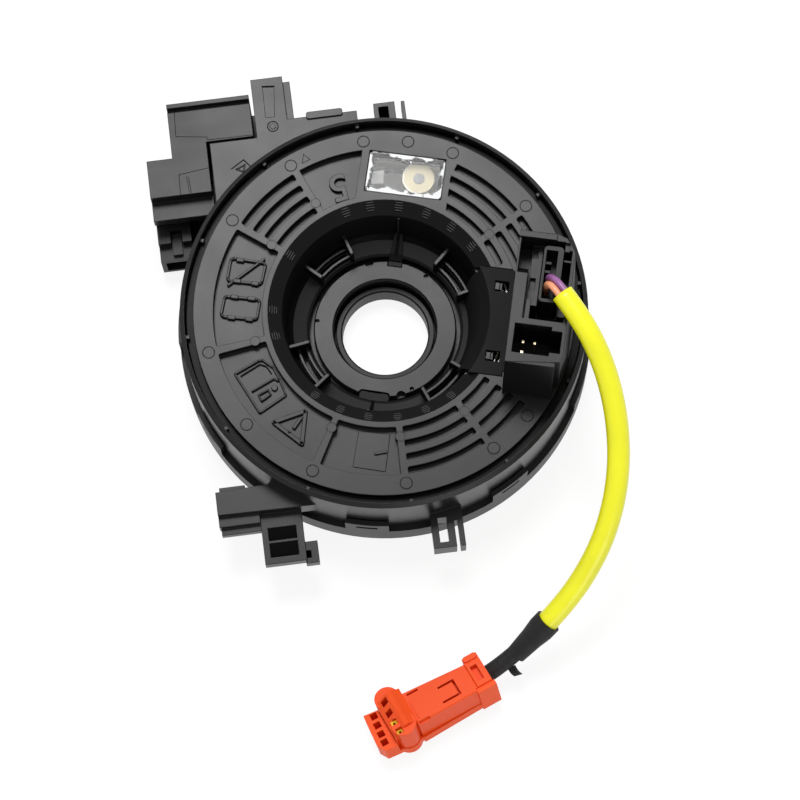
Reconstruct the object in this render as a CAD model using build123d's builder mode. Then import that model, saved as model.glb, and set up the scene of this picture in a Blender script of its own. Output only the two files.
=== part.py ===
"""Steering clock spring with its steering angle sensor.

A flat cable wound in a round chamber links a fixed housing on the steering column to a
rotor that turns with the wheel.  Below the chamber a toothed ring turns with the rotor and
drives two small magnet gears over the sensor board.  Millimetres, +Z up through the rotor's
face, origin on the shaft's axis at the back face.
"""
from build123d import *
import os
from math import asin, cos, degrees, pi, radians, sin, tan

os.makedirs("parts", exist_ok=True)

# ---------------------------------------------------------------- driving dimensions
# Heights, from the back face upwards
cover_floor = 1.6          # floor of the sensor cover
sensor_room = 6.9          # free height between the cover's floor and the flange
flange_thickness = 1.5     # flange and terminal floor of the lower case
plate_thickness = 1.5      # floor of the cable chamber
chamber_height = 14.0      # free height of the cable chamber
disc_thickness = 3.5       # rotor disc
rim_rise = 1.2             # the rim's inner edge above the rotor's face
rim_slope = 1.0            # fall of the rim's top towards its outer edge
tower_height = 23.0        # pad connector tower above the rotor's face

# Radii of the round parts
rim_radius = 55.0
case_wall = 1.25
cover_wall = 1.4
rim_gap = 2.35             # open ring between rotor face and rim
face_hole_radius = 31.3
funnel_foot_radius = 26.5
funnel_draft = 1.1         # how far the funnel's wall leans outwards over its height
funnel_outer_radius = 30.0
hub_bore_radius = 20.8     # hole in the rotor's hub floor
ring_radius = 19.67        # outside of the sensor ring
ring_bore_radius = 14.13
shaft_bore_radius = 11.9   # bore for the steering shaft
lip_wall = 1.5

# Turning
rotor_rest = -15.0         # the rotor's angle at rest, seen from above
slack = 0.3                # gap between bodies that turn past each other
fit = 0.2                  # gap between pieces that are assembled into each other

# ---------------------------------------------------------------- derived levels and radii
throat_radius = funnel_foot_radius + funnel_draft    # where the sloping band meets the wall
flange_bottom = cover_floor + sensor_room
plate_bottom = flange_bottom + flange_thickness
plate_top = plate_bottom + plate_thickness
disc_bottom = plate_top + chamber_height
face_z = disc_bottom + disc_thickness
rim_top = face_z + rim_rise
tower_top = face_z + tower_height

case_bore = rim_radius - case_wall
face_radius = case_bore - rim_gap
skirt_height = 1.1         # lowest part of the disc, which is wider than its face
skirt_radius = case_bore - slack - 0.05
plate_radius = case_bore - slack
cover_radius = rim_radius + fit + cover_wall
ledge_width = 1.8

rotor = Plane.XY.rotated((0, 0, rotor_rest))


def polar(radius, angle):
    """Point at a radius and an angle in degrees."""
    return (radius * cos(radians(angle)), radius * sin(radians(angle)))


def span(x_min, x_max, y_min, y_max, mode=Mode.ADD):
    """Rectangle between two x and two y values, in the open sketch."""
    with Locations(((x_min + x_max) / 2, (y_min + y_max) / 2)):
        Rectangle(x_max - x_min, y_max - y_min, mode=mode)


def ring_sector(inner, outer, start, end, corner=0.0):
    """Piece of a flat ring between two radii and two angles, with rounded corners."""
    with BuildSketch() as sector:
        with BuildLine():
            CenterArc((0, 0), outer, start, end - start)
            CenterArc((0, 0), inner, start, end - start)
            Line(polar(inner, start), polar(outer, start))
            Line(polar(inner, end), polar(outer, end))
        make_face()
        if corner > 0:
            fillet(sector.vertices(), corner)
    return sector.sketch


def radial_plane(radius, angle):
    """Plane across the rotor's radius at an angle, with z up."""
    return Plane(
        origin=rotor.from_local_coords(polar(radius, angle) + (0,)),
        x_dir=rotor.from_local_coords(polar(1, angle + 90) + (0,)),
        z_dir=rotor.from_local_coords(polar(1, angle) + (0,)),
    )


def radial_section(angle):
    """Plane through the axis at an angle of the rotor, with the radius across and z up."""
    return Plane(
        origin=(0, 0, 0),
        x_dir=rotor.from_local_coords(polar(1, angle) + (0,)),
        z_dir=rotor.from_local_coords(polar(1, angle - 90) + (0,)),
    )


def rotor_yz(x):
    """Plane across the rotor's X at a distance x, with y across and z up."""
    return Plane(origin=rotor.from_local_coords((x, 0, 0)), x_dir=rotor.y_dir, z_dir=rotor.x_dir)


def rib_shift(half_width, radius):
    """Angle that a straight rib's half width takes up at a radius."""
    return degrees(asin(half_width / radius))


# ================================================================ fixed housing
# ---------------------------------------------------------------- terminal room outline
# The rim carries a flat plate over the terminals, with a tall tab; seen from above.
plate_left = -41.5
plate_step_y = 54.1
tab_left = -28.4
tab_right = -19.6
tab_top = 71.2
shoulder_y = 58.5
plate_right = -0.3
groove = 1.0               # dark groove between the plate and the sockets
terminal_plate = 1.6
skirt_wall = 1.3
terminal_outline = [
    (plate_left, 36.5),
    (plate_left, plate_step_y),
    (tab_left, plate_step_y),
    (tab_left, tab_top),
    (tab_right, tab_top),
    (tab_right, shoulder_y),
    (plate_right, shoulder_y),
    (plate_right, 40.0),
    (-30.0, 30.0),
]
terminal_top = face_z - 2.0

# ---------------------------------------------------------------- stator case
tick_count = 12
tick_offset = 0.8
tick_width = 1.0
tick_height = 1.7
arm_top = face_z - 8.0
arm_bottom = arm_top - 6.5
bottom_tab_top = face_z - 12.0
clip_top = face_z - 12.0
clip_thickness = 3.6
snap_angles = (15, 62, 172, 205, 258, 300, 335)
snap_bump = 0.75
snap_width = 5.0
snap_z = plate_bottom + 1.4
cable_window_angle = 126.0

with BuildPart() as stator_case:
    # round wall with its sloping rim
    with BuildSketch(Plane.XZ):
        with BuildLine():
            Polyline(
                (case_bore, plate_bottom),
                (rim_radius, plate_bottom),
                (rim_radius, rim_top - rim_slope),
                (case_bore, rim_top),
                close=True,
            )
        make_face()
    revolve(axis=Axis.Z)
    # centring ribs in the gap round the rotor
    with BuildSketch(Plane.XY.offset(disc_bottom + skirt_height + slack)):
        with PolarLocations(case_bore - 0.4, tick_count, tick_offset):
            Rectangle(1.2, tick_width)
    extrude(amount=tick_height)
    # plate over the terminals, and the skirt below it
    with BuildSketch(Plane.XY.offset(terminal_top)):
        with BuildLine():
            Polyline(*terminal_outline, close=True)
        make_face()
        Circle(case_bore + 0.4, mode=Mode.SUBTRACT)
    extrude(amount=-terminal_plate)
    with BuildSketch(Plane.XY.offset(plate_bottom)):
        with BuildLine():
            Polyline(*terminal_outline, close=True)
        make_face()
        offset(amount=-skirt_wall, kind=Kind.INTERSECTION, mode=Mode.SUBTRACT)
        Circle(case_bore + 0.4, mode=Mode.SUBTRACT)
    extrude(amount=terminal_top - plate_bottom)
    # raised pad along the shoulder, and the rib that backs the tab
    with BuildSketch(Plane.XY.offset(terminal_top - 4.0)):
        with Locations((-9.25, shoulder_y + 0.1)):
            RectangleRounded(10.1, 2.0, 0.7)
    extrude(amount=4.6)
    with BuildSketch(Plane.XY.offset(arm_bottom)):
        span(tab_right - 0.2, tab_right + 1.9, shoulder_y - 0.5, tab_top - 1.2)
    extrude(amount=terminal_top - 1.5 - arm_bottom)
    # arm at the lower left, with its stepped ledges
    with BuildSketch(Plane.XY.offset(arm_top)):
        with BuildLine():
            Polyline(
                (-50.9, -42.6),
                (-36.7, -42.0),
                (-30.0, -36.0),
                (-20.0, -44.0),
                (-24.6, -49.3),
                (-50.9, -48.9),
                close=True,
            )
        make_face()
        Circle(case_bore + 0.4, mode=Mode.SUBTRACT)
    extrude(amount=-(arm_top - arm_bottom))
    with BuildSketch(Plane.XY.offset(arm_bottom)):
        span(-50.9, -39.9, -51.8, -48.5)
    extrude(amount=4.4)
    with BuildSketch(Plane.XY.offset(arm_bottom)):
        span(-50.5, -39.9, -53.7, -51.5)
    extrude(amount=2.6)
    with BuildSketch(Plane.XY.offset(arm_bottom)):
        span(-49.9, -43.0, -43.0, -40.8)
    extrude(amount=3.6)
    # clip below the arm: a plate with two slots and a side hook
    with BuildSketch(Plane.XY.offset(clip_top)):
        span(-39.9, -28.7, -63.1, -48.5)
        span(-38.2, -30.6, -56.7, -53.2, mode=Mode.SUBTRACT)
        span(-38.2, -30.6, -61.3, -57.4, mode=Mode.SUBTRACT)
    extrude(amount=-clip_thickness)
    with BuildSketch(Plane.XY.offset(clip_top - 1.0)):
        span(-38.4, -30.4, -61.5, -52.8)
    extrude(amount=-0.8)
    with BuildSketch(Plane.XY.offset(clip_top - 0.8)):
        span(-29.0, -25.4, -60.4, -57.9)
        span(-27.4, -25.4, -63.9, -57.9)
        span(-29.0, -25.4, -63.9, -62.4)
    extrude(amount=-clip_thickness)
    # tab at the bottom, with a window and an open slot
    with BuildSketch(Plane.XY.offset(bottom_tab_top)):
        span(5.4, 14.0, -64.5, -53.0)
        span(7.25, 9.7, -62.9, -56.2, mode=Mode.SUBTRACT)
        span(11.6, 12.6, -64.6, -57.4, mode=Mode.SUBTRACT)
        Circle(case_bore + 0.4, mode=Mode.SUBTRACT)
    extrude(amount=-(bottom_tab_top - plate_bottom - fit))
    # hook and prong at the top
    with BuildSketch(Plane.XY.offset(arm_top)):
        span(4.6, 10.5, 53.0, 62.2)
        span(5.9, 8.6, 57.6, 61.0, mode=Mode.SUBTRACT)
        span(12.3, 13.3, 52.0, 62.0)
        Circle(case_bore + 0.4, mode=Mode.SUBTRACT)
    extrude(amount=-6.0)
    # snap bumps for the cover's tabs
    with BuildSketch(Plane.XY.offset(snap_z)):
        for angle in snap_angles:
            turn = rib_shift(snap_width / 2, rim_radius)
            add(ring_sector(rim_radius - 0.4, rim_radius + snap_bump, angle - turn, angle + turn))
    extrude(amount=1.1)
    # window through which the flat cable reaches the terminals
    with BuildSketch(Plane.XY.offset(plate_top + 0.5)):
        with Locations(Pos(*polar(rim_radius, cable_window_angle)) * Rot(0, 0, cable_window_angle)):
            Rectangle(4.0, 3.0)
    extrude(amount=chamber_height - 0.7, mode=Mode.SUBTRACT)
stator_case.part.label = "stator_case"
export_step(stator_case.part, "parts/stator_case.step")

# ---------------------------------------------------------------- lower case with two sockets
socket_bottom = flange_bottom
socket_top = face_z - 4.0
upper_left = -52.3
upper_right = tab_left - groove
upper_top = 67.4
step_x = plate_left - groove
step_y = plate_step_y + groove + 0.4
lower_left = -59.4
lower_top = 51.9
lower_front = 41.0
strip_front = 35.7
strip_top = face_z - 8.0
socket_wall = 1.6
mouth_floor = 3.0          # thickness below the mouths
upper_back = -34.0         # bottom of the upper socket
lower_back = -46.0
pin_side = 0.64
pin_hole = 0.8
upper_pins = [(y, z) for z in (15.0, 20.0) for y in (58.2, 59.9, 61.6, 63.3)]
lower_pins = [(y, z) for z in (15.0, 20.0) for y in (44.4, 46.4, 48.4)]
flange_outline = [
    (lower_left, strip_front + 1.9),
    (lower_left, lower_top),
    (upper_left, lower_top),
    (upper_left, upper_top),
    (tab_left, upper_top),
    (tab_left, tab_top),
    (tab_right, tab_top),
    (tab_right, shoulder_y),
    (plate_right, shoulder_y),
    (plate_right, 40.0),
    (-30.0, 30.0),
    (-44.0, strip_front + 1.9),
]
hub_clearance = 0.6
sleeve_hole = funnel_outer_radius + hub_clearance


def yz_plane(x):
    """Plane across X at a distance x, looking along +X, with y across and z up."""
    return Plane(origin=(x, 0, 0), x_dir=(0, 1, 0), z_dir=(1, 0, 0))


with BuildPart() as lower_case:
    with BuildSketch(Plane.XY.offset(flange_bottom)):
        Circle(rim_radius)
        with BuildLine():
            Polyline(*flange_outline, close=True)
        make_face()
        Circle(case_bore - 3.0, mode=Mode.SUBTRACT)
    extrude(amount=flange_thickness)
    with BuildSketch(Plane.XY.offset(plate_bottom)):
        Circle(plate_radius)
        Circle(sleeve_hole, mode=Mode.SUBTRACT)
    extrude(amount=plate_thickness)
    # bodies of the two sockets, stepped round the terminal plate
    with BuildSketch(Plane.XY.offset(socket_bottom)):
        span(upper_left, upper_right, step_y, upper_top)
        span(upper_left, step_x, lower_top - 1.0, upper_top)
        span(lower_left, step_x, lower_front, lower_top)
    extrude(amount=socket_top - socket_bottom)
    with BuildSketch(Plane.XY.offset(strip_top)):
        span(lower_left, step_x + 0.2, strip_front, lower_front + 0.5)
    extrude(amount=-3.5)
    with BuildSketch(Plane.XY.offset(flange_bottom)):
        span(lower_left, step_x + 0.2, strip_front + 1.9, lower_front + 0.5)
    extrude(amount=strip_top - flange_bottom - 1.0)
    # raised lip along the upper socket, with the groove in front of it
    with BuildSketch(Plane.XY.offset(socket_top)):
        span(upper_left, upper_right, upper_top - 1.2, upper_top)
    extrude(amount=1.0)
    with BuildSketch(Plane.XY.offset(socket_top)):
        span(upper_left, upper_right, upper_top - 2.2, upper_top - 1.2)
    extrude(amount=-1.0, mode=Mode.SUBTRACT)
    # mouths of the sockets, open to the left
    with BuildSketch(yz_plane(upper_left)):
        span(
            step_y + socket_wall,
            upper_top - 2.2,
            socket_bottom + mouth_floor,
            socket_top - socket_wall,
        )
    extrude(amount=upper_back - upper_left, mode=Mode.SUBTRACT)
    with BuildSketch(yz_plane(lower_left)):
        span(
            lower_front + socket_wall,
            lower_top - socket_wall,
            socket_bottom + mouth_floor,
            socket_top - socket_wall,
        )
    extrude(amount=lower_back - lower_left, mode=Mode.SUBTRACT)
    # holes for the terminals
    with BuildSketch(yz_plane(upper_back)):
        with Locations(*upper_pins):
            Rectangle(pin_hole, pin_hole)
    extrude(amount=upper_right - upper_back, mode=Mode.SUBTRACT)
    with BuildSketch(yz_plane(lower_back)):
        with Locations(*lower_pins):
            Rectangle(pin_hole, pin_hole)
    extrude(amount=step_x - lower_back, mode=Mode.SUBTRACT)
lower_case.part.label = "lower_case"
export_step(lower_case.part, "parts/lower_case.step")

with BuildPart() as upper_socket_pins:
    with BuildSketch(yz_plane(upper_back - 11.0)):
        with Locations(*upper_pins):
            Rectangle(pin_side, pin_side)
    extrude(amount=11.0 + upper_right - upper_back - 0.4)
upper_socket_pins.part.label = "upper_socket_pins"
export_step(upper_socket_pins.part, "parts/upper_socket_pins.step")

with BuildPart() as lower_socket_pins:
    with BuildSketch(yz_plane(lower_back - 7.0)):
        with Locations(*lower_pins):
            Rectangle(pin_side, pin_side)
    extrude(amount=7.0 + step_x - lower_back - 0.4)
lower_socket_pins.part.label = "lower_socket_pins"
export_step(lower_socket_pins.part, "parts/lower_socket_pins.step")

# block in the terminal room that joins the flat cable to the terminals
with BuildPart() as cable_joint_block:
    with BuildSketch(Plane.XY.offset(plate_bottom)):
        span(-38.6, -31.4, 47.2, 52.4)
    extrude(amount=10.5)
    with BuildSketch(Plane.XY.offset(plate_bottom + 10.5)):
        with Locations((-35.0, 50.0)):
            with GridLocations(1.7, 0, 4, 1):
                Rectangle(0.8, 3.6)
    extrude(amount=-1.2, mode=Mode.SUBTRACT)
cable_joint_block.part.label = "cable_joint_block"
export_step(cable_joint_block.part, "parts/cable_joint_block.step")

# ---------------------------------------------------------------- sensor cover (bottom shell)
core_count = 6
tab_height = 6.5
tab_half_angle = 6.0
lip_height = 7.0
ring_float = 0.3           # the ring's underside above its bearing land
land_height = 0.6
gear_module = 0.75
ring_teeth = 60
gear_a_teeth = 26
gear_b_teeth = 24
gear_a_angle = 200.0
gear_b_angle = 158.0
gear_bottom = cover_floor + 3.1
gear_height = 3.3
axle_radius = 1.5
axle_clearance = 0.06
mesh_play = 0.12
gear_a_reach = gear_module * (ring_teeth + gear_a_teeth) / 2 + mesh_play
gear_b_reach = gear_module * (ring_teeth + gear_b_teeth) / 2 + mesh_play
gear_a_spot = polar(gear_a_reach, gear_a_angle)
gear_b_spot = polar(gear_b_reach, gear_b_angle)
board_seat = 0.4
board_thickness = 1.2
board_bottom = cover_floor + board_seat
board_top = board_bottom + board_thickness
lip_radius = shaft_bore_radius + lip_wall
socket_neck_front = 28.6
socket_neck_back = 35.6

with BuildPart() as sensor_cover:
    with BuildSketch(Plane.XY):
        Circle(cover_radius)
        Circle(shaft_bore_radius, mode=Mode.SUBTRACT)
    extrude(amount=cover_floor)
    with BuildSketch(Plane.XY):
        Circle(cover_radius)
        Circle(cover_radius - cover_wall - ledge_width, mode=Mode.SUBTRACT)
    extrude(amount=flange_bottom)
    # castellated tabs that snap over the case
    with BuildSketch(Plane.XY.offset(flange_bottom)):
        for angle in snap_angles:
            add(ring_sector(rim_radius + fit, cover_radius, angle - tab_half_angle, angle + tab_half_angle))
    extrude(amount=tab_height)
    with BuildSketch(Plane.XY.offset(snap_z - 0.2)):
        for angle in snap_angles:
            turn = rib_shift(snap_width / 2 + 0.3, rim_radius)
            add(ring_sector(rim_radius - 1.0, cover_radius + 1.0, angle - turn, angle + turn))
    extrude(amount=1.6, mode=Mode.SUBTRACT)
    # lip round the shaft, and the land that carries the sensor ring
    with BuildSketch(Plane.XY):
        Circle(lip_radius)
        Circle(shaft_bore_radius, mode=Mode.SUBTRACT)
    extrude(amount=lip_height)
    with BuildSketch(Plane.XY.offset(cover_floor)):
        Circle(ring_radius)
        Circle(ring_bore_radius, mode=Mode.SUBTRACT)
    extrude(amount=land_height)
    # axles of the two gears, and pads below the board
    with BuildSketch(Plane.XY.offset(cover_floor)):
        with Locations(gear_a_spot, gear_b_spot):
            Circle(axle_radius + 1.2)
    extrude(amount=board_seat)
    with BuildSketch(Plane.XY.offset(cover_floor)):
        with Locations(gear_a_spot, gear_b_spot):
            Circle(axle_radius)
    extrude(amount=gear_bottom + gear_height - cover_floor)
    with BuildSketch(Plane.XY.offset(cover_floor)):
        for angle in (128, 180, 232):
            add(ring_sector(46.0, 50.0, angle - 4, angle + 4))
    extrude(amount=board_seat)
    # shallow coring of the back, which leaves radial ribs
    with BuildSketch(Plane.XY):
        for index in range(core_count):
            start = index * 360 / core_count + 3
            end = (index + 1) * 360 / core_count - 3
            add(ring_sector(19.0, 34.0, start, end))
            add(ring_sector(37.0, 51.0, start, end))
    extrude(amount=0.5, mode=Mode.SUBTRACT)
    # opening for the neck of the sensor's socket
    with BuildSketch(Plane.XY.offset(cover_floor)):
        span(-60.0, -40.0, socket_neck_front - fit, socket_neck_back + fit)
    extrude(amount=flange_bottom, mode=Mode.SUBTRACT)
    bore_edges = [
        edge
        for edge in sensor_cover.edges().filter_by(GeomType.CIRCLE)
        if abs(edge.radius - shaft_bore_radius) < 0.01
    ]
    chamfer(ShapeList(bore_edges).sort_by(Axis.Z)[-1], 0.4)
sensor_cover.part.label = "sensor_cover"
export_step(sensor_cover.part, "parts/sensor_cover.step")

# ---------------------------------------------------------------- sensor socket, board and chips
socket_outer_left = -59.3
socket_inner = -49.7
socket_neck_end = -44.6
sensor_socket_top = face_z - 16.0
with BuildPart() as sensor_socket:
    with BuildSketch(Plane.XY.offset(1.0)):
        span(socket_outer_left, socket_inner - 0.3, 27.4, 37.2)
    extrude(amount=9.0)
    with BuildSketch(Plane.XY.offset(cover_floor + 0.3)):
        span(socket_inner - 1.0, socket_neck_end, socket_neck_front, socket_neck_back)
    extrude(amount=flange_bottom - cover_floor - 0.5)
    # latch bridge on top, with its window
    with BuildSketch(Plane.XY.offset(10.0)):
        span(socket_outer_left, socket_inner - 0.3, 31.7, 37.2)
        span(-55.8, -52.6, 30.0, 35.3, mode=Mode.SUBTRACT)
    extrude(amount=sensor_socket_top - 10.0)
    with BuildSketch(Plane.XY.offset(10.0)):
        span(-55.5, -52.9, 28.6, 34.6)
    extrude(amount=1.4)
    # mouth, open to the front
    with BuildSketch(Plane(origin=(0, 27.4, 0), x_dir=(1, 0, 0), z_dir=(0, -1, 0))):
        span(socket_outer_left + 1.3, socket_inner - 1.6, 2.3, 8.7)
    extrude(amount=-7.0, mode=Mode.SUBTRACT)
    with BuildSketch(Plane(origin=(0, 34.4, 0), x_dir=(1, 0, 0), z_dir=(0, -1, 0))):
        with Locations((-56.4, 5.6), (-54.4, 5.6), (-52.4, 5.6)):
            Rectangle(pin_hole, pin_hole)
    extrude(amount=-1.6, mode=Mode.SUBTRACT)
sensor_socket.part.label = "sensor_socket"
export_step(sensor_socket.part, "parts/sensor_socket.step")

with BuildPart() as sensor_socket_pins:
    with BuildSketch(Plane(origin=(0, 36.0, 0), x_dir=(1, 0, 0), z_dir=(0, -1, 0))):
        with Locations((-56.4, 5.6), (-54.4, 5.6), (-52.4, 5.6)):
            Rectangle(pin_side, pin_side)
    extrude(amount=6.0)
sensor_socket_pins.part.label = "sensor_socket_pins"
export_step(sensor_socket_pins.part, "parts/sensor_socket_pins.step")

with BuildPart() as sensor_board:
    with BuildSketch(Plane.XY.offset(board_bottom)):
        add(ring_sector(ring_radius + 2.4, 51.0, 118, 240, 1.5))
        with Locations(gear_a_spot, gear_b_spot):
            Circle(axle_radius + 0.3, mode=Mode.SUBTRACT)
        span(-52.0, -43.0, socket_neck_front - 1.0, socket_neck_back + 1.0, mode=Mode.SUBTRACT)
    extrude(amount=board_thickness)
sensor_board.part.label = "sensor_board"
export_step(sensor_board.part, "parts/sensor_board.step")

with BuildPart() as sensor_chips:
    with BuildSketch(Plane.XY.offset(board_top)):
        for angle in (gear_a_angle, gear_b_angle):
            with Locations(polar(gear_a_reach + 7.0, angle)):
                Rectangle(4.0, 5.0)
        with Locations((-43.0, -2.0)):
            Rectangle(6.0, 6.0)
        with Locations((-22.0, 36.0), (-26.0, 39.0)):
            Rectangle(2.4, 1.6)
    extrude(amount=1.1)
sensor_chips.part.label = "sensor_chips"
export_step(sensor_chips.part, "parts/sensor_chips.step")

# ---------------------------------------------------------------- sensor gears
tooth_depth_out = 0.62
tooth_depth_in = 0.78


def gear_outline(teeth, phase):
    """Outline of a spur gear with straight flanks; phase turns it in degrees."""
    pitch_radius = gear_module * teeth / 2
    pitch_angle = 360 / teeth
    tip = pitch_radius + tooth_depth_out
    root = pitch_radius - tooth_depth_in
    points = []
    for tooth in range(teeth):
        middle = phase + tooth * pitch_angle
        points.append(polar(root, middle - 0.32 * pitch_angle))
        points.append(polar(tip, middle - 0.12 * pitch_angle))
        points.append(polar(tip, middle + 0.12 * pitch_angle))
        points.append(polar(root, middle + 0.32 * pitch_angle))
    return points


def gear_phase(teeth, toward):
    """Turn that puts a gap of the gear towards the ring, which has a tooth there."""
    return toward + 180 + 180 / teeth


magnet_inner = 2.5
magnet_outer = 4.6
magnet_height = 1.5


def toothed_wheel(teeth, angle, spot):
    """Small sensor gear on its axle, with the recess for its magnet."""
    with BuildPart() as wheel:
        with BuildSketch(Plane.XY.offset(gear_bottom)):
            with BuildLine():
                Polyline(*gear_outline(teeth, gear_phase(teeth, angle)), close=True)
            make_face()
            Circle(axle_radius + axle_clearance, mode=Mode.SUBTRACT)
        extrude(amount=gear_height)
        with BuildSketch(Plane.XY.offset(gear_bottom)):
            Circle(magnet_outer)
            Circle(magnet_inner, mode=Mode.SUBTRACT)
        extrude(amount=magnet_height, mode=Mode.SUBTRACT)
    return Pos(*spot) * wheel.part


def magnet_ring(spot):
    """Ring magnet pressed into a gear's underside."""
    with BuildPart() as magnet:
        with BuildSketch(Plane.XY.offset(gear_bottom)):
            Circle(magnet_outer - 0.03)
            Circle(magnet_inner + 0.03, mode=Mode.SUBTRACT)
        extrude(amount=magnet_height)
    return Pos(*spot) * magnet.part


sensor_gear_a = toothed_wheel(gear_a_teeth, gear_a_angle, gear_a_spot)
sensor_gear_a.label = "sensor_gear_a"
export_step(sensor_gear_a, "parts/sensor_gear_a.step")
sensor_gear_b = toothed_wheel(gear_b_teeth, gear_b_angle, gear_b_spot)
sensor_gear_b.label = "sensor_gear_b"
export_step(sensor_gear_b, "parts/sensor_gear_b.step")
magnet_a = magnet_ring(gear_a_spot)
magnet_a.label = "magnet_a"
export_step(magnet_a, "parts/magnet_a.step")
magnet_b = magnet_ring(gear_b_spot)
magnet_b.label = "magnet_b"
export_step(magnet_b, "parts/magnet_b.step")

# ================================================================ rotor
# ---------------------------------------------------------------- sensor ring
ring_top = plate_top - 0.2
ring_edge = 0.35           # chamfer round the ring's top
ring_marks = (61, 181, 301)
key_width = 3.8
lower_key_width = 8.2
key_angle = 89.5
lower_key_angle = 269.0
key_bottom = plate_bottom - 1.0
key_inner = 18.2
key_corner = 1.0
ring_phase = gear_a_angle - rotor_rest

with BuildPart() as sensor_ring:
    with BuildSketch(Plane.XZ):
        with BuildLine():
            Polyline(
                (ring_bore_radius, cover_floor + land_height + ring_float),
                (ring_radius, cover_floor + land_height + ring_float),
                (ring_radius, ring_top - ring_edge),
                (ring_radius - ring_edge, ring_top),
                (ring_bore_radius + ring_edge, ring_top),
                (ring_bore_radius, ring_top - ring_edge),
                close=True,
            )
        make_face()
    revolve(axis=Axis.Z)
    # toothed flange that drives the sensor gears
    with BuildSketch(rotor.offset(gear_bottom)):
        with BuildLine():
            Polyline(*gear_outline(ring_teeth, ring_phase), close=True)
        make_face()
        Circle(ring_radius - 0.5, mode=Mode.SUBTRACT)
    extrude(amount=gear_height)
    # seats for the rotor's two keys, and two half-round notches
    with BuildSketch(rotor.offset(key_bottom - fit)):
        with Locations(Rot(0, 0, key_angle) * Pos(key_inner + 1.5, 0)):
            Rectangle(3.0 + 2 * fit, key_width + 2 * fit)
        with Locations(Rot(0, 0, lower_key_angle) * Pos(key_inner + 1.5, 0)):
            RectangleRounded(3.0 + 2 * fit, lower_key_width + 2 * fit, key_corner)
        with Locations(polar(ring_radius, 111), polar(ring_radius, 291)):
            Circle(1.3)
    extrude(amount=6.0, mode=Mode.SUBTRACT)
    # three blind holes in its face
    with BuildSketch(rotor.offset(ring_top)):
        with Locations(*[polar(ring_radius - 0.9, angle) for angle in ring_marks]):
            Circle(0.6)
    extrude(amount=-1.2, mode=Mode.SUBTRACT)
sensor_ring.part.label = "sensor_ring"
export_step(sensor_ring.part, "parts/sensor_ring.step")

# ---------------------------------------------------------------- rotor disc with funnel
band_drop = 2.4
floor_rise = 1.3           # slope of the hub floor, from its bore up to the funnel's wall
pocket_depth = 2.5
pocket_inner = 32.85
pocket_outer = 46.0
slot_bands = ((44.1, 46.0), (40.4, 42.3), (36.7, 38.6), (32.9, 34.7))
rib_half = 0.95
rib_angles = (44.5, 129.3, 156.5, 202.0, 255.0, 285.0, 315.0)
rib_circle_radius = 35.6
rib_circle = 1.35
funnel_sets = (43.0, 137.0, 218.0, 321.0)
funnel_half = 14.5
exit_left = 22.0
exit_right = 44.3
exit_bottom = -14.4
exit_top = 15.8
exit_neck = 13.0           # half height of the exit below the tower
window_left = -10.0
window_right = 11.1
window_bottom = 32.9
window_top = 44.7
hub_floor_z = plate_top
funnel_rib_top = plate_top + 7.0
slots_under_tower = 25.0
slots_below_tower = 333.0
bridge_thickness = 2.2     # plate of the pad connector that bridges the exit
bridge_bottom = face_z - bridge_thickness
hook_x = funnel_outer_radius - 1.1
hook_half = 1.0
hook_places = (10.7, -9.0)
leg_x = funnel_outer_radius - 0.8   # terminals' legs in the hub's wall
leg_thickness = 0.6

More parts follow.
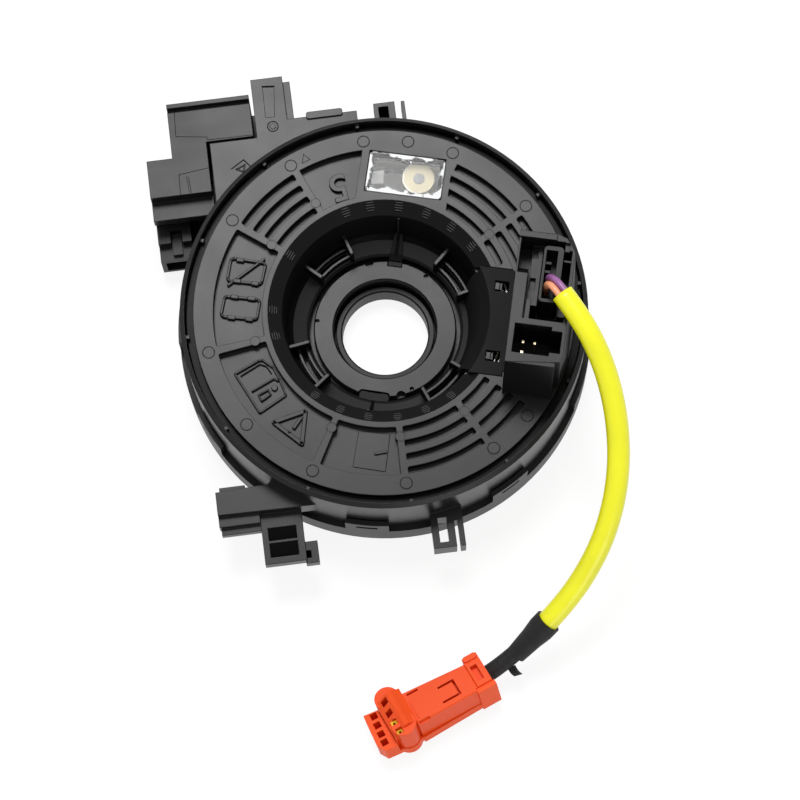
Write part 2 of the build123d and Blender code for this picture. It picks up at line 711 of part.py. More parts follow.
with BuildPart() as rotor_disc:
    with BuildSketch(Plane.XZ):
        with BuildLine():
            Polyline(
                (hub_bore_radius, plate_bottom),
                (funnel_outer_radius, plate_bottom),
                (funnel_outer_radius, disc_bottom),
                (skirt_radius, disc_bottom),
                (skirt_radius, disc_bottom + skirt_height),
                (face_radius, disc_bottom + skirt_height),
                (face_radius, face_z),
                (face_hole_radius, face_z),
                (throat_radius, face_z - band_drop),
                (funnel_foot_radius, hub_floor_z + floor_rise + 1.5),
                (funnel_foot_radius - 1.3, hub_floor_z + floor_rise),
                (hub_bore_radius, hub_floor_z),
                close=True,
            )
        make_face()
    revolve(axis=Axis.Z)
    # pockets and slots sunk into the face
    with BuildSketch(rotor.offset(face_z)):
        for inner, outer in slot_bands:
            shift = rib_shift(rib_half, (inner + outer) / 2)
            add(ring_sector(inner, outer, 129.3 + shift, 156.5 - shift, 0.5))
            add(ring_sector(inner, outer, 285.0 + shift, 315.0 - shift, 0.5))
            add(ring_sector(inner, outer, 315.0 + shift, slots_below_tower, 0.5))
            add(ring_sector(inner, outer, 44.5 + shift, 72.0, 0.0))
        for inner, outer in slot_bands[:3]:
            shift = rib_shift(rib_half, (inner + outer) / 2)
            add(ring_sector(inner, outer, slots_under_tower, 44.5 - shift, 0.5))
        inner, outer = slot_bands[3]
        add(ring_sector(inner, outer, slots_under_tower + 4.5, 44.5 - rib_shift(rib_half, inner), 0.5))
        middle = (pocket_inner + pocket_outer) / 2
        shift = rib_shift(rib_half, middle)
        add(ring_sector(pocket_inner, pocket_outer, 156.5 + shift, 202.0 - shift, 0.5))
        add(ring_sector(pocket_inner, pocket_outer, 202.0 + shift, 255.0 - shift, 0.5))
        add(ring_sector(pocket_inner, pocket_outer, 255.0 + shift, 285.0 - shift, 0.5))
        add(ring_sector(pocket_inner, pocket_outer, 100.0, 129.3 - shift, 0.0))
        span(-12.1, 12.9, pocket_inner - 3.0, pocket_outer + 2.0, mode=Mode.SUBTRACT)
        for angle in rib_angles:
            with Locations(polar(rib_circle_radius, angle)):
                Circle(rib_circle, mode=Mode.SUBTRACT)
    extrude(amount=-pocket_depth, mode=Mode.SUBTRACT)
    # seat of the inspection window, and the hole below it
    with BuildSketch(rotor.offset(face_z)):
        span(window_left, window_right, window_bottom, window_top)
    extrude(amount=-1.2, mode=Mode.SUBTRACT)
    with BuildSketch(rotor.offset(face_z)):
        span(window_left + 1.4, window_right - 1.4, window_bottom + 1.4, window_top - 1.4)
    extrude(amount=-disc_thickness - 1.0, mode=Mode.SUBTRACT)
    # exit for the cable's ends, below the pad connector
    with BuildSketch(rotor.offset(face_z)):
        span(exit_left, 33.9, exit_bottom, exit_top)
        span(33.0, exit_right, -exit_neck, exit_neck)
    extrude(amount=-disc_thickness, mode=Mode.SUBTRACT)
    # recess in the hub's wall where the flat cable's inner end meets the terminals
    with BuildSketch(rotor.offset(hub_floor_z + 1.0)):
        span(leg_x - 0.5, funnel_outer_radius + 1.0, -6.2, 1.4)
    extrude(amount=disc_bottom - hub_floor_z - 1.0, mode=Mode.SUBTRACT)
    # hooks that catch the windows of the pad connector's plate
    with BuildSketch(rotor.offset(disc_bottom - 0.4)):
        for y in hook_places:
            span(27.2, hook_x + 1.2, y - hook_half, y + hook_half)
    extrude(amount=bridge_bottom - disc_bottom + 0.2)
    with BuildSketch(rotor.offset(disc_bottom)):
        for y in hook_places:
            span(hook_x, hook_x + 1.2, y - hook_half, y + hook_half)
    extrude(amount=face_z - disc_bottom - 0.2)
    with BuildSketch(rotor.offset(face_z - 0.4)):
        for y in hook_places:
            span(hook_x, hook_x + 1.9, y - hook_half, y + hook_half)
    extrude(amount=-1.1)
    # four pairs of radial ribs in the funnel, with two arcs between each pair
    for middle in funnel_sets:
        with BuildSketch(rotor.offset(hub_floor_z - 1.0)):
            for side in (-funnel_half, funnel_half):
                with Locations(Rot(0, 0, middle + side) * Pos(24.1, 0)):
                    Rectangle(6.0, 0.9)
            Circle(funnel_foot_radius + 0.6, mode=Mode.INTERSECT)
        extrude(amount=funnel_rib_top - hub_floor_z + 1.0)
        with BuildSketch(rotor.offset(hub_floor_z + floor_rise)):
            add(ring_sector(22.9, 23.9, middle - funnel_half + 2.2, middle + funnel_half - 2.2))
        extrude(amount=-plate_thickness - floor_rise, mode=Mode.SUBTRACT)
        with BuildSketch(rotor.offset(hub_floor_z - 0.5)):
            add(ring_sector(21.9, 22.6, middle - funnel_half, middle + funnel_half))
            add(ring_sector(24.2, 24.9, middle - funnel_half, middle + funnel_half))
        extrude(amount=3.5)
    # keys that drive the sensor ring, each with its gusset up the wall
    with BuildSketch(rotor.offset(key_bottom)):
        with Locations(Rot(0, 0, key_angle) * Pos((key_inner + 22.0) / 2, 0)):
            Rectangle(22.0 - key_inner, key_width)
        with Locations(Rot(0, 0, lower_key_angle) * Pos((key_inner + 22.0) / 2, 0)):
            RectangleRounded(22.0 - key_inner, lower_key_width, key_corner)
        Circle(key_inner + 0.2, mode=Mode.SUBTRACT)
        Circle(hub_bore_radius + 0.6, mode=Mode.INTERSECT)
    extrude(amount=hub_floor_z - 0.8 - key_bottom)
    # wedge that leads from the funnel's wall down to the upper key
    with BuildSketch(radial_plane(hub_bore_radius - 1.0, key_angle)):
        span(-key_width / 2, key_width / 2, hub_floor_z - 1.4, hub_floor_z - 0.2)
    with BuildSketch(radial_plane(funnel_foot_radius + 0.6, key_angle)):
        span(-1.0, 1.0, hub_floor_z - 1.4, hub_floor_z + floor_rise + 2.4)
    loft()
    for angle in (key_angle, lower_key_angle):
        with BuildSketch(radial_section(angle)):
            with BuildLine():
                Polyline(
                    (hub_bore_radius + 0.2, hub_floor_z - 1.0),
                    (hub_bore_radius + 0.2, hub_floor_z + 0.5),
                    (funnel_foot_radius - 2.2, hub_floor_z + floor_rise + 2.6),
                    (throat_radius - 0.5, face_z - band_drop - 1.0),
                    (throat_radius + 0.9, face_z - band_drop - 1.0),
                    (throat_radius + 0.9, hub_floor_z - 1.0),
                    close=True,
                )
            make_face()
        extrude(amount=0.35, both=True)
rotor_disc.part.label = "rotor_disc"
export_step(rotor_disc.part, "parts/rotor_disc.step")

# ---------------------------------------------------------------- inspection window
with BuildPart() as inspection_window:
    with BuildSketch(rotor.offset(face_z - 1.2)):
        span(window_left + fit, window_right - fit, window_bottom + fit, window_top - fit)
    extrude(amount=1.1)
    fillet(inspection_window.edges().filter_by(Axis.Z), 1.0)
inspection_window.part.label = "inspection_window"
export_step(inspection_window.part, "parts/inspection_window.step")

# ---------------------------------------------------------------- retaining sleeve below the case
sleeve_outer = 33.0
sleeve_inner = hub_bore_radius + 0.8
sleeve_bottom = flange_bottom - 0.1
with BuildPart() as rotor_sleeve:
    with BuildSketch(Plane.XZ):
        with BuildLine():
            Polyline(
                (sleeve_inner, sleeve_bottom),
                (sleeve_outer, sleeve_bottom),
                (sleeve_outer, plate_bottom - slack),
                (sleeve_hole - hub_clearance, plate_bottom - slack),
                (sleeve_hole - hub_clearance, plate_bottom),
                (sleeve_inner, plate_bottom),
                close=True,
            )
        make_face()
    revolve(axis=Axis.Z)
rotor_sleeve.part.label = "rotor_sleeve"
export_step(rotor_sleeve.part, "parts/rotor_sleeve.step")

# ---------------------------------------------------------------- pad connector tower
tower_left = 34.0
tower_lean = 1.7           # how far the outer wall leans in over its height
skirt_top_radius = throat_radius + 1.0   # concave edge of the bridge plate
skirt_bend = (funnel_foot_radius - 0.6, disc_bottom - 0.5)   # where the upper flare begins
skirt_foot_radius = funnel_foot_radius - 3.6
skirt_foot = hub_floor_z + floor_rise + slack
skirt_back = funnel_foot_radius - slack
flare_foot = funnel_rib_top + 0.4
tower_outline = [
    (tower_left, 19.4),
    (44.0, 19.6),
    (46.6, 18.6),
    (49.0, 15.3),
    (50.5, 5.0),
    (50.7, -5.8),
    (50.2, -9.8),
    (48.8, -15.2),
    (tower_left + 0.4, -16.7),
]
socket_b = (35.8, 48.3, -13.9, -6.0)
socket_b_floor = face_z + 6.0
squib_seat = (40.7, 46.3, 0.9, 16.8)
squib_floor = face_z + 7.0
shelf_depth = 5.5
shelf_left = 37.9
tower_pin_spots = [(38.4, -8.5), (41.5, -8.5), (38.4, -11.3)]
strip_ends = [-2.5, 0.0, -5.0]
flare_share = (flare_foot - skirt_foot) / (skirt_bend[1] - skirt_foot)
flare_radius = skirt_foot_radius + flare_share * (skirt_bend[0] - skirt_foot_radius)
# section from the skirt's back up and round the bridge plate's edge, as radius and height
skirt_rim = [
    (skirt_back, disc_bottom - 0.2),
    (skirt_back + 1.4, bridge_bottom),
    (skirt_top_radius + 0.8, bridge_bottom),
    (skirt_top_radius + 0.8, face_z),
    (skirt_top_radius, face_z),
    skirt_bend,
]
skirt_low = [
    (skirt_foot_radius, skirt_foot),
    (skirt_foot_radius + 1.5, skirt_foot),
    (skirt_back, flare_foot),
] + skirt_rim
skirt_high = [(flare_radius, flare_foot), (skirt_back - 0.02, flare_foot)] + skirt_rim
# sections, first angle and last angle; the lower one stays between two ribs of the funnel
skirt_sweeps = ((skirt_low, -22.0, 26.0), (skirt_high, -28.5, 31.5))

with BuildPart() as pad_connector:
    with BuildSketch(rotor.offset(face_z)):
        with BuildLine():
            Polyline(*tower_outline, close=True)
        make_face()
    extrude(amount=tower_height)
    # the outer wall leans inwards
    with BuildSketch(
        Plane(origin=rotor.from_local_coords((0, 25, 0)), x_dir=rotor.x_dir, z_dir=-rotor.y_dir)
    ):
        with BuildLine():
            Polyline(
                (50.9, face_z + 0.5),
                (50.9 - tower_lean, tower_top),
                (53.0, tower_top),
                (53.0, face_z + 0.5),
                close=True,
            )
        make_face()
    extrude(amount=50.0, mode=Mode.SUBTRACT)
    # sloping foot of the front wall
    with BuildSketch(rotor_yz(tower_left + 0.4)):
        with BuildLine():
            Polyline(
                (-15.5, face_z),
                (-18.8, face_z),
                (-16.7, tower_top - 0.1),
                (-15.5, tower_top - 0.1),
                close=True,
            )
        make_face()
    extrude(amount=13.0)
    # lip along the top end, and the peg behind it
    with BuildSketch(rotor.offset(tower_top)):
        span(tower_left, 43.9, 17.6, 19.2)
    extrude(amount=0.7)
    with BuildSketch(rotor.offset(tower_top - 0.8)):
        with Locations((tower_left + 0.9, 20.3)):
            Circle(0.75)
        span(tower_left + 0.3, tower_left + 1.5, 19.0, 20.3)
    extrude(amount=-6.0)
    # plate that bridges the exit, with its latch windows
    with BuildSketch(rotor.offset(bridge_bottom)):
        span(24.0, 33.9 - fit, exit_bottom + fit, exit_top - fit)
        span(33.0, exit_right - fit, -exit_neck + fit, exit_neck - fit)
        Circle(skirt_top_radius, mode=Mode.SUBTRACT)
    extrude(amount=bridge_thickness)
    # concave skirt that closes the exit towards the funnel
    for section, start, end in skirt_sweeps:
        with BuildSketch(radial_section(start)):
            with BuildLine():
                Polyline(*section, close=True)
            make_face()
        revolve(axis=Axis.Z, revolution_arc=end - start)
    with BuildSketch(rotor.offset(bridge_bottom)):
        for y in hook_places:
            span(hook_x - 0.2, hook_x + 3.7, y - hook_half - 0.5, y + hook_half + 0.5)
    extrude(amount=bridge_thickness, mode=Mode.SUBTRACT)
    # trough at the top end of the spine, with a ramp down into it
    with BuildSketch(rotor_yz(tower_left + 0.6)):
        with BuildLine():
            Polyline(
                (17.6, tower_top + 0.1),
                (7.8, tower_top + 0.1),
                (8.6, tower_top - 0.8),
                (10.6, tower_top - 5.0),
                (10.6, tower_top - 10.0),
                (17.6, tower_top - 10.0),
                close=True,
            )
        make_face()
    extrude(amount=shelf_left - tower_left - 0.6, mode=Mode.SUBTRACT)
    # groove beside the spine, and the shelf round the squib connector
    with BuildSketch(rotor.offset(tower_top)):
        span(shelf_left - 0.5, shelf_left, -4.4, 11.0)
    extrude(amount=-8.0, mode=Mode.SUBTRACT)
    with BuildSketch(rotor.offset(tower_top)):
        span(shelf_left, 46.2, squib_seat[2], 17.6)
    extrude(amount=-shelf_depth, mode=Mode.SUBTRACT)
    with BuildSketch(rotor.offset(tower_top - shelf_depth)):
        span(38.1, 39.5, 13.9, 17.1)
        span(38.1, 39.6, 5.2, 8.4)
    extrude(amount=-1.5, mode=Mode.SUBTRACT)
    # stepped corner, and the gap along the outer wall with its web
    with BuildSketch(rotor.offset(tower_top)):
        span(46.2, 47.5, 15.3, 17.4)
    extrude(amount=-1.2, mode=Mode.SUBTRACT)
    with BuildSketch(rotor.offset(tower_top)):
        span(46.2, 48.3, squib_seat[2], 15.3)
    extrude(amount=-3.0, mode=Mode.SUBTRACT)
    with BuildSketch(rotor.offset(tower_top)):
        span(46.2, 48.3, 13.6, 15.3)
        span(46.2, 48.3, squib_seat[2], 13.0)
    extrude(amount=-13.0, mode=Mode.SUBTRACT)
    with BuildSketch(rotor.offset(tower_top)):
        span(*squib_seat)
    extrude(amount=-(tower_top - squib_floor), mode=Mode.SUBTRACT)
    with BuildSketch(rotor.offset(tower_top)):
        span(39.1, 48.2, -4.4, squib_seat[2])
    extrude(amount=-17.0, mode=Mode.SUBTRACT)
    # second socket, keyed at its outer corners
    with BuildSketch(rotor.offset(tower_top)):
        span(*socket_b)
        span(45.5, socket_b[1], socket_b[3] - 1.0, socket_b[3], mode=Mode.SUBTRACT)
        span(45.5, socket_b[1], socket_b[2], socket_b[2] + 1.0, mode=Mode.SUBTRACT)
    extrude(amount=-(tower_top - socket_b_floor), mode=Mode.SUBTRACT)
    # channel for the terminals, from below
    with BuildSketch(rotor.offset(bridge_bottom)):
        span(leg_x - 0.2, 43.2, -12.2, 1.6)
    extrude(amount=1.0, mode=Mode.SUBTRACT)
    with BuildSketch(rotor.offset(bridge_bottom)):
        with Locations(*tower_pin_spots):
            Rectangle(pin_hole, pin_hole)
    extrude(amount=tower_height, mode=Mode.SUBTRACT)
pad_connector.part.label = "pad_connector"
export_step(pad_connector.part, "parts/pad_connector.step")

strip_z = bridge_bottom + 0.3
half_strip = 0.6
strip_height = 0.5
with BuildPart() as pad_terminals:
    for (x, y), lane in zip(tower_pin_spots, strip_ends):
        knee = x if y > -10 else 36.2
        with BuildSketch(rotor.offset(strip_z)):
            span(min(knee, x) - half_strip, x + half_strip, y - half_strip, y + half_strip)
            span(knee - half_strip, knee + half_strip, y - half_strip, lane + half_strip)
            span(leg_x, knee + half_strip, lane - half_strip, lane + half_strip)
        extrude(amount=strip_height)
        with BuildSketch(rotor.offset(strip_z)):
            with Locations((x, y)):
                Rectangle(pin_side, pin_side)
        extrude(amount=face_z + 15.0 - strip_z)
        with BuildSketch(rotor.offset(plate_top + 3.0)):
            span(leg_x, leg_x + leg_thickness, lane - half_strip, lane + half_strip)
        extrude(amount=strip_z + strip_height - plate_top - 3.0)
pad_terminals.part.label = "pad_terminals"
export_step(pad_terminals.part, "parts/pad_terminals.step")

# ---------------------------------------------------------------- squib connector of the lead
squib_top = tower_top - 1.5
squib_cavity_floor = squib_floor + 6.5
with BuildPart() as squib_connector:
    with BuildSketch(rotor.offset(squib_floor)):
        span(squib_seat[0] + fit, squib_seat[1] - fit, squib_seat[2] + fit, squib_seat[3] - fit)
    extrude(amount=squib_top - squib_floor)
    fillet(squib_connector.edges().filter_by(Axis.Z), 1.2)
    with BuildSketch(rotor.offset(squib_top)):
        span(squib_seat[0] + 0.9, squib_seat[1] - 1.7, squib_seat[2] + 1.1, squib_seat[3] - 1.4)
    extrude(amount=-(squib_top - squib_cavity_floor), mode=Mode.SUBTRACT)
    # two bars across its cavity
    with BuildSketch(rotor.offset(squib_cavity_floor)):
        for y in (9.8, 12.2):
            span(squib_seat[0] + 0.8, squib_seat[0] + 2.5, y - 0.35, y + 0.35)
    extrude(amount=squib_top - squib_cavity_floor - 1.2)
squib_connector.part.label = "squib_connector"
export_step(squib_connector.part, "parts/squib_connector.step")

# ================================================================ flat cable and its carrier
carrier_thickness = 1.2
carrier_bottom = plate_top + slack
cable_bottom = carrier_bottom + carrier_thickness
cable_width = 12.0
cable_thickness = 0.35
roller_circle = 40.0
roller_radius = 4.2
roller_count = 4
roller_angle = 69.0
loop_radius = roller_radius + 0.05 + cable_thickness / 2
loop_inner = roller_circle - loop_radius
loop_outer = roller_circle + loop_radius
inner_start = funnel_outer_radius + 0.2
inner_end = loop_inner - cable_thickness - slack
outer_start = loop_outer + cable_thickness + slack
outer_end = case_bore - cable_thickness / 2 - 0.2
inner_turns = 4
outer_turns = 5
carrier_inner = loop_inner - cable_thickness / 2
carrier_outer = loop_outer + cable_thickness / 2
guide_inner = 37.4
guide_outer = 41.2


def wound_band(first_radius, last_radius, turns):
    """Flat cable wound as half circles about two centres, seen from above."""
    halves = 2 * turns
    step = (last_radius - first_radius) / halves
    with BuildSketch() as band:
        with BuildLine():
            for side in (-cable_thickness / 2, cable_thickness / 2):
                for half in range(halves):
                    centre = (step / 2 if half % 2 else -step / 2, 0)
                    CenterArc(centre, first_radius + step * (half + 0.5) + side, 180 * (half % 2), 180)
            for radius in (first_radius, last_radius):
                Line((radius - cable_thickness / 2, 0), (radius + cable_thickness / 2, 0))
        make_face()
    return band.sketch


with BuildPart() as flat_cable_inner:
    with BuildSketch(rotor.offset(cable_bottom)):
        add(wound_band(inner_start, inner_end, inner_turns))
        span(leg_x + leg_thickness, leg_x + leg_thickness + cable_thickness, -5.9, 0.0)
        span(leg_x + leg_thickness, inner_start + cable_thickness / 2, -cable_thickness, 0.0)
    extrude(amount=cable_width)
flat_cable_inner.part.label = "flat_cable_inner"
export_step(flat_cable_inner.part, "parts/flat_cable_inner.step")

with BuildPart() as flat_cable_outer:
    with BuildSketch(Plane.XY.rotated((0, 0, cable_window_angle)).offset(cable_bottom)):
        add(wound_band(outer_start, outer_end, outer_turns))
        span(outer_end, 58.0, 0.0, cable_thickness)
    extrude(amount=cable_width)
flat_cable_outer.part.label = "flat_cable_outer"
export_step(flat_cable_outer.part, "parts/flat_cable_outer.step")

# the turn of the cable round one roller
with BuildPart() as flat_cable_loop:
    with BuildSketch(Plane.XY.rotated((0, 0, roller_angle)).offset(cable_bottom)):
        with BuildLine():
            for side in (-cable_thickness / 2, cable_thickness / 2):
                CenterArc((0, 0), loop_inner + side, 0, -70)
                CenterArc((0, 0), loop_outer - side, 0, -50)
                CenterArc((roller_circle, 0), loop_radius - side, 0, 180)
            for radius, angle in ((loop_inner, -70), (loop_outer, -50)):
                Line(
                    polar(radius - cable_thickness / 2, angle),
                    polar(radius + cable_thickness / 2, angle),
                )
        make_face()
    extrude(amount=cable_width)
flat_cable_loop.part.label = "flat_cable_loop"
export_step(flat_cable_loop.part, "parts/flat_cable_loop.step")

with BuildPart() as roller_carrier:
    with BuildSketch(Plane.XY.offset(carrier_bottom)):
        Circle(carrier_outer)
        Circle(carrier_inner, mode=Mode.SUBTRACT)
    extrude(amount=carrier_thickness)
    # posts of the rollers, and curved guides between them
    with BuildSketch(Plane.XY.offset(cable_bottom)):
        with PolarLocations(roller_circle, roller_count, roller_angle):
            Circle(axle_radius)
        for index in range(roller_count):
            start = roller_angle + index * 360 / roller_count + 14
            add(ring_sector(guide_inner, guide_outer, start, start + 62))
    extrude(amount=cable_width - 0.3)
roller_carrier.part.label = "roller_carrier"
export_step(roller_carrier.part, "parts/roller_carrier.step")

for index in range(roller_count):
    with BuildPart() as roller:
        with BuildSketch(Plane.XY.offset(cable_bottom + 0.1)):
            with Locations(polar(roller_circle, roller_angle + index * 360 / roller_count)):
                Circle(roller_radius)
                Circle(axle_radius + axle_clearance, mode=Mode.SUBTRACT)
        extrude(amount=cable_width - 0.6)
    roller.part.label = f"cable_roller_{index + 1}"
    export_step(roller.part, f"parts/cable_roller_{index + 1}.step")

# ================================================================ lead with its plug
plug_angle = 201.9
plug_spot = (15.5, -98.1)
plug_roll = 18.0           # the plug lies rolled towards its far side
plug_half_height = 5.25
plug_half_width = 5.3
plug_split = -2.5          # seam between tray and cover, from the plug's middle
tray_side = 5.95
cover_start = 4.6
cover_end = 23.2
entry_depth = 4.0
sleeve_diameter = 6.0
sleeve_bore = 4.4
wire_diameter = 1.8
taped_diameter = 4.6
tape_start = 8.0
sleeve_hidden = 11.0
tape_end = 21.0
plug_across = Vector(*polar(1, plug_angle + 90), 0)
plug_up = Vector(0, 0, 1) * cos(radians(plug_roll)) - plug_across * sin(radians(plug_roll))
plug_lift = plug_half_height * cos(radians(plug_roll)) + plug_half_width * sin(radians(plug_roll))
plug = Plane(origin=plug_spot + (plug_lift,), x_dir=polar(1, plug_angle) + (0,), z_dir=plug_up)
plug_entry = plug.from_local_coords((entry_depth, 0, 0))
plug_corner = plug.from_local_coords((-5.5, 0, 0))
sleeve_bend = Vector(38.7, -83.3, 18.7)
sleeve_heading = (plug_corner - sleeve_bend).normalized()
sleeve_foot = sleeve_bend + sleeve_heading * sleeve_hidden
sleeve_route = [
    Vector(46.0, -9.9, 55.5),
    Vector(50.1, -17.4, 55.0),
    Vector(53.6, -26.3, 52.0),
    Vector(55.7, -35.3, 47.5),
    Vector(56.3, -44.9, 42.5),
    Vector(55.3, -54.5, 38.0),
    Vector(52.3, -64.4, 33.5),
    Vector(47.3, -73.7, 27.5),
    sleeve_bend,
    sleeve_foot,
]
taped_route = [sleeve_foot, plug_corner, plug_entry]
wire_start_z = squib_cavity_floor
wire_a_route = [
    Vector(43.4, -3.0, wire_start_z),
    Vector(43.4, -3.0, 49.5),
    Vector(44.3, -4.9, 54.3),
    Vector(46.0, -7.8, 56.3),
    Vector(49.1, -13.9, 55.5),
]
wire_b_route = [
    Vector(42.7, -5.2, wire_start_z),
    Vector(42.7, -5.2, 49.5),
    Vector(43.0, -6.4, 54.3),
    Vector(44.3, -8.65, 56.3),
    Vector(47.4, -14.8, 55.5),
]


def corner_radii(points, name, diameter):
    """Radii of the tangent arcs at a route's corners; the smallest is printed."""
    radii = []
    for before, corner, after in zip(points, points[1:], points[2:]):
        run_in = corner - before
        run_out = after - corner
        turn = radians(run_in.get_angle(run_out))
        radii.append(0.45 * min(run_in.length, run_out.length) / tan(turn / 2))
    print(name, "smallest bend", round(min(radii), 1), "diameter", diameter)
    return radii


def swept_cord(points, name, diameter, bore=0.0):
    """Round cord along a route, solid or with a bore."""
    with BuildPart() as cord:
        with BuildLine() as route:
            FilletPolyline(*points, radius=corner_radii(points, name, diameter))
        with BuildSketch(Plane(origin=route.line @ 0, z_dir=route.line % 0)):
            Circle(diameter / 2)
            if bore > 0:
                Circle(bore / 2, mode=Mode.SUBTRACT)
        sweep()
    length = route.wires()[0].length
    section = pi / 4 * (diameter**2 - bore**2)
    ratio = cord.part.volume / (section * length)
    print(name, "length", round(length, 1), "volume against section times length", round(ratio, 3))
    cord.part.label = name
    export_step(cord.part, f"parts/{name}.step")


swept_cord(sleeve_route, "lead_sleeve", sleeve_diameter, sleeve_bore)
swept_cord(taped_route, "taped_wires", taped_diameter)
swept_cord(wire_a_route, "lead_wire_a", wire_diameter)
swept_cord(wire_b_route, "lead_wire_b", wire_diameter)

tape_plane = Plane(origin=sleeve_bend, x_dir=sleeve_heading.cross(Vector(0, 0, 1)), z_dir=sleeve_heading)
with BuildPart() as tape_wrap:
    with BuildSketch(Plane(origin=sleeve_bend, x_dir=tape_plane.x_dir, z_dir=-tape_plane.y_dir)):
        with BuildLine():
            Polyline(
                (sleeve_diameter / 2, tape_start),
                (sleeve_diameter / 2 + 0.7, tape_start),
                (sleeve_diameter / 2 + 0.7, sleeve_hidden),
                (sleeve_diameter / 2 + 0.2, sleeve_hidden + 3.5),
                (taped_diameter / 2 + 0.4, tape_end),
                (taped_diameter / 2, tape_end),
                (taped_diameter / 2, sleeve_hidden),
                (sleeve_diameter / 2, sleeve_hidden),
                close=True,
            )
        make_face()
    revolve(axis=Axis(sleeve_bend, sleeve_heading))
tape_wrap.part.label = "tape_wrap"
export_step(tape_wrap.part, "parts/tape_wrap.step")

plug_nose_outline = [
    (cover_end - 1.5, -plug_half_width),
    (30.5, -6.2),
    (34.5, -6.7),
    (35.3, 3.1),
    (34.0, 5.5),
    (30.2, 5.9),
    (cover_end - 1.5, tray_side),
]
nose_start = 30.4
nose_top = 0.9
nose_pockets = [(32.1, -5.1), (32.5, -2.3), (32.8, 0.5), (33.1, 3.1)]
hump_middle = (26.6, 3.3)
hump_radius = 3.6
lobe_middle = (26.9, -6.5)
lobe_radius = 3.4
hump_ports = [(28.0, -5.1), (28.4, -1.8), (28.6, 1.5), (28.4, 4.5)]
port_side = 1.8
end_block = (-0.2, 5.3, 4.4, tray_side)
with BuildPart() as plug_housing:
    with BuildSketch(plug.offset(-plug_half_height)):
        with BuildLine():
            Polyline(
                (0.0, -plug_half_width),
                (0.0, plug_half_width),
                (cover_end, tray_side),
                (cover_end, -plug_half_width),
                close=True,
            )
        make_face()
        with Locations(hump_middle):
            Circle(hump_radius)
    extrude(amount=plug_half_height + plug_split)
    with BuildSketch(plug.offset(-plug_half_height + 1.0)):
        with BuildLine():
            Polyline(*plug_nose_outline, close=True)
        make_face()
    extrude(amount=plug_half_height - 1.0 + plug_split)
    with BuildSketch(plug.offset(plug_split)):
        with BuildLine():
            Polyline(*plug_nose_outline, close=True)
        make_face()
        span(cover_end - 2.0, nose_start, -8.0, 8.0, mode=Mode.SUBTRACT)
    extrude(amount=nose_top - plug_split)
    # pockets along the nose, and the block beside the cable
    with BuildSketch(plug.offset(nose_top)):
        with Locations(*nose_pockets):
            Rectangle(1.9, 1.9)
    extrude(amount=-3.5, mode=Mode.SUBTRACT)
    with BuildSketch(plug.offset(-plug_half_height)):
        span(*end_block)
    extrude(amount=2 * plug_half_height - 0.4)
plug_housing.part.label = "plug_housing"
export_step(plug_housing.part, "parts/plug_housing.step")

entry_hole = Plane(origin=plug.origin, x_dir=plug.z_dir, z_dir=plug.x_dir)
with BuildPart() as plug_cover:
    with BuildSketch(plug.offset(plug_split)):
        with BuildLine():
            Polyline(
                (cover_start, -3.5),
                (cover_start, plug_half_width),
                (cover_end, plug_half_width),
                (cover_end, 0.4 - plug_half_width),
                close=True,
            )
        make_face()
    extrude(amount=plug_half_height - plug_split)
    chamfer(plug_cover.faces().sort_by(Axis(plug.origin, plug.z_dir))[-1].edges(), 0.3)
    # frame at the cable's end with its window, and the rounded lug beside it
    with BuildSketch(plug.offset(plug_split)):
        span(0.3, cover_start, -4.9, end_block[2])
    extrude(amount=plug_half_height + 0.3 - plug_split)
    with BuildSketch(plug.offset(plug_half_height)):
        with Locations((2.5, -4.1)):
            RectangleRounded(3.9, 1.6, 0.7)
    extrude(amount=0.9)
    with BuildSketch(plug.offset(plug_half_height + 0.3)):
        span(1.9, 3.8, -1.8, 2.9)
    extrude(amount=-1.7, mode=Mode.SUBTRACT)
    with BuildSketch(plug.offset(plug_split)):
        span(*end_block)
    extrude(amount=2 * plug_half_height, mode=Mode.SUBTRACT)
    # hump over the nose, with its round ends
    with BuildSketch(
        Plane(origin=plug.from_local_coords((0, 4.4, 0)), x_dir=plug.x_dir, z_dir=-plug.y_dir)
    ):
        with BuildLine():
            Polyline(
                (cover_end - 0.3, plug_split),
                (cover_end - 0.3, plug_half_height),
                (24.2, plug_half_height + 0.6),
                (25.4, plug_half_height + 1.5),
                (26.6, plug_half_height + 1.3),
                (nose_start - 0.1, nose_top + 2.2),
                (nose_start - 0.1, plug_split),
                close=True,
            )
        make_face()
    extrude(amount=11.0)
    with BuildSketch(plug.offset(plug_split)):
        with Locations(hump_middle):
            Circle(hump_radius - 0.2)
    extrude(amount=plug_half_height + 0.4 - plug_split)
    with BuildSketch(plug.offset(plug_split)):
        with Locations(lobe_middle):
            Circle(lobe_radius)
    extrude(amount=plug_half_height - 1.6 - plug_split)
    with BuildSketch(plug.offset(plug_half_height + 2.0)):
        with Locations(*hump_ports):
            Rectangle(port_side, port_side)
    extrude(amount=-6.5, mode=Mode.SUBTRACT)
    # latch tongue, slots along the edges and a low bar
    with BuildSketch(plug.offset(plug_half_height)):
        span(9.2, 9.9, -1.35, 3.7)
        span(9.2, 14.0, -1.35, -0.75)
        span(9.2, 14.7, 3.1, 3.7)
    extrude(amount=-2.4, mode=Mode.SUBTRACT)
    with BuildSketch(plug.offset(plug_half_height)):
        span(18.7, 22.0, -4.0, -3.4)
        span(19.6, 22.7, plug_half_width - 0.6, plug_half_width + 0.1)
    extrude(amount=-1.2, mode=Mode.SUBTRACT)
    with BuildSketch(plug.offset(plug_half_height)):
        span(22.0, 22.4, -1.7, 4.0)
    extrude(amount=0.3)
    with BuildSketch(entry_hole):
        Circle(taped_diameter / 2 + 0.02)
    extrude(amount=entry_depth, mode=Mode.SUBTRACT)
plug_cover.part.label = "plug_cover"
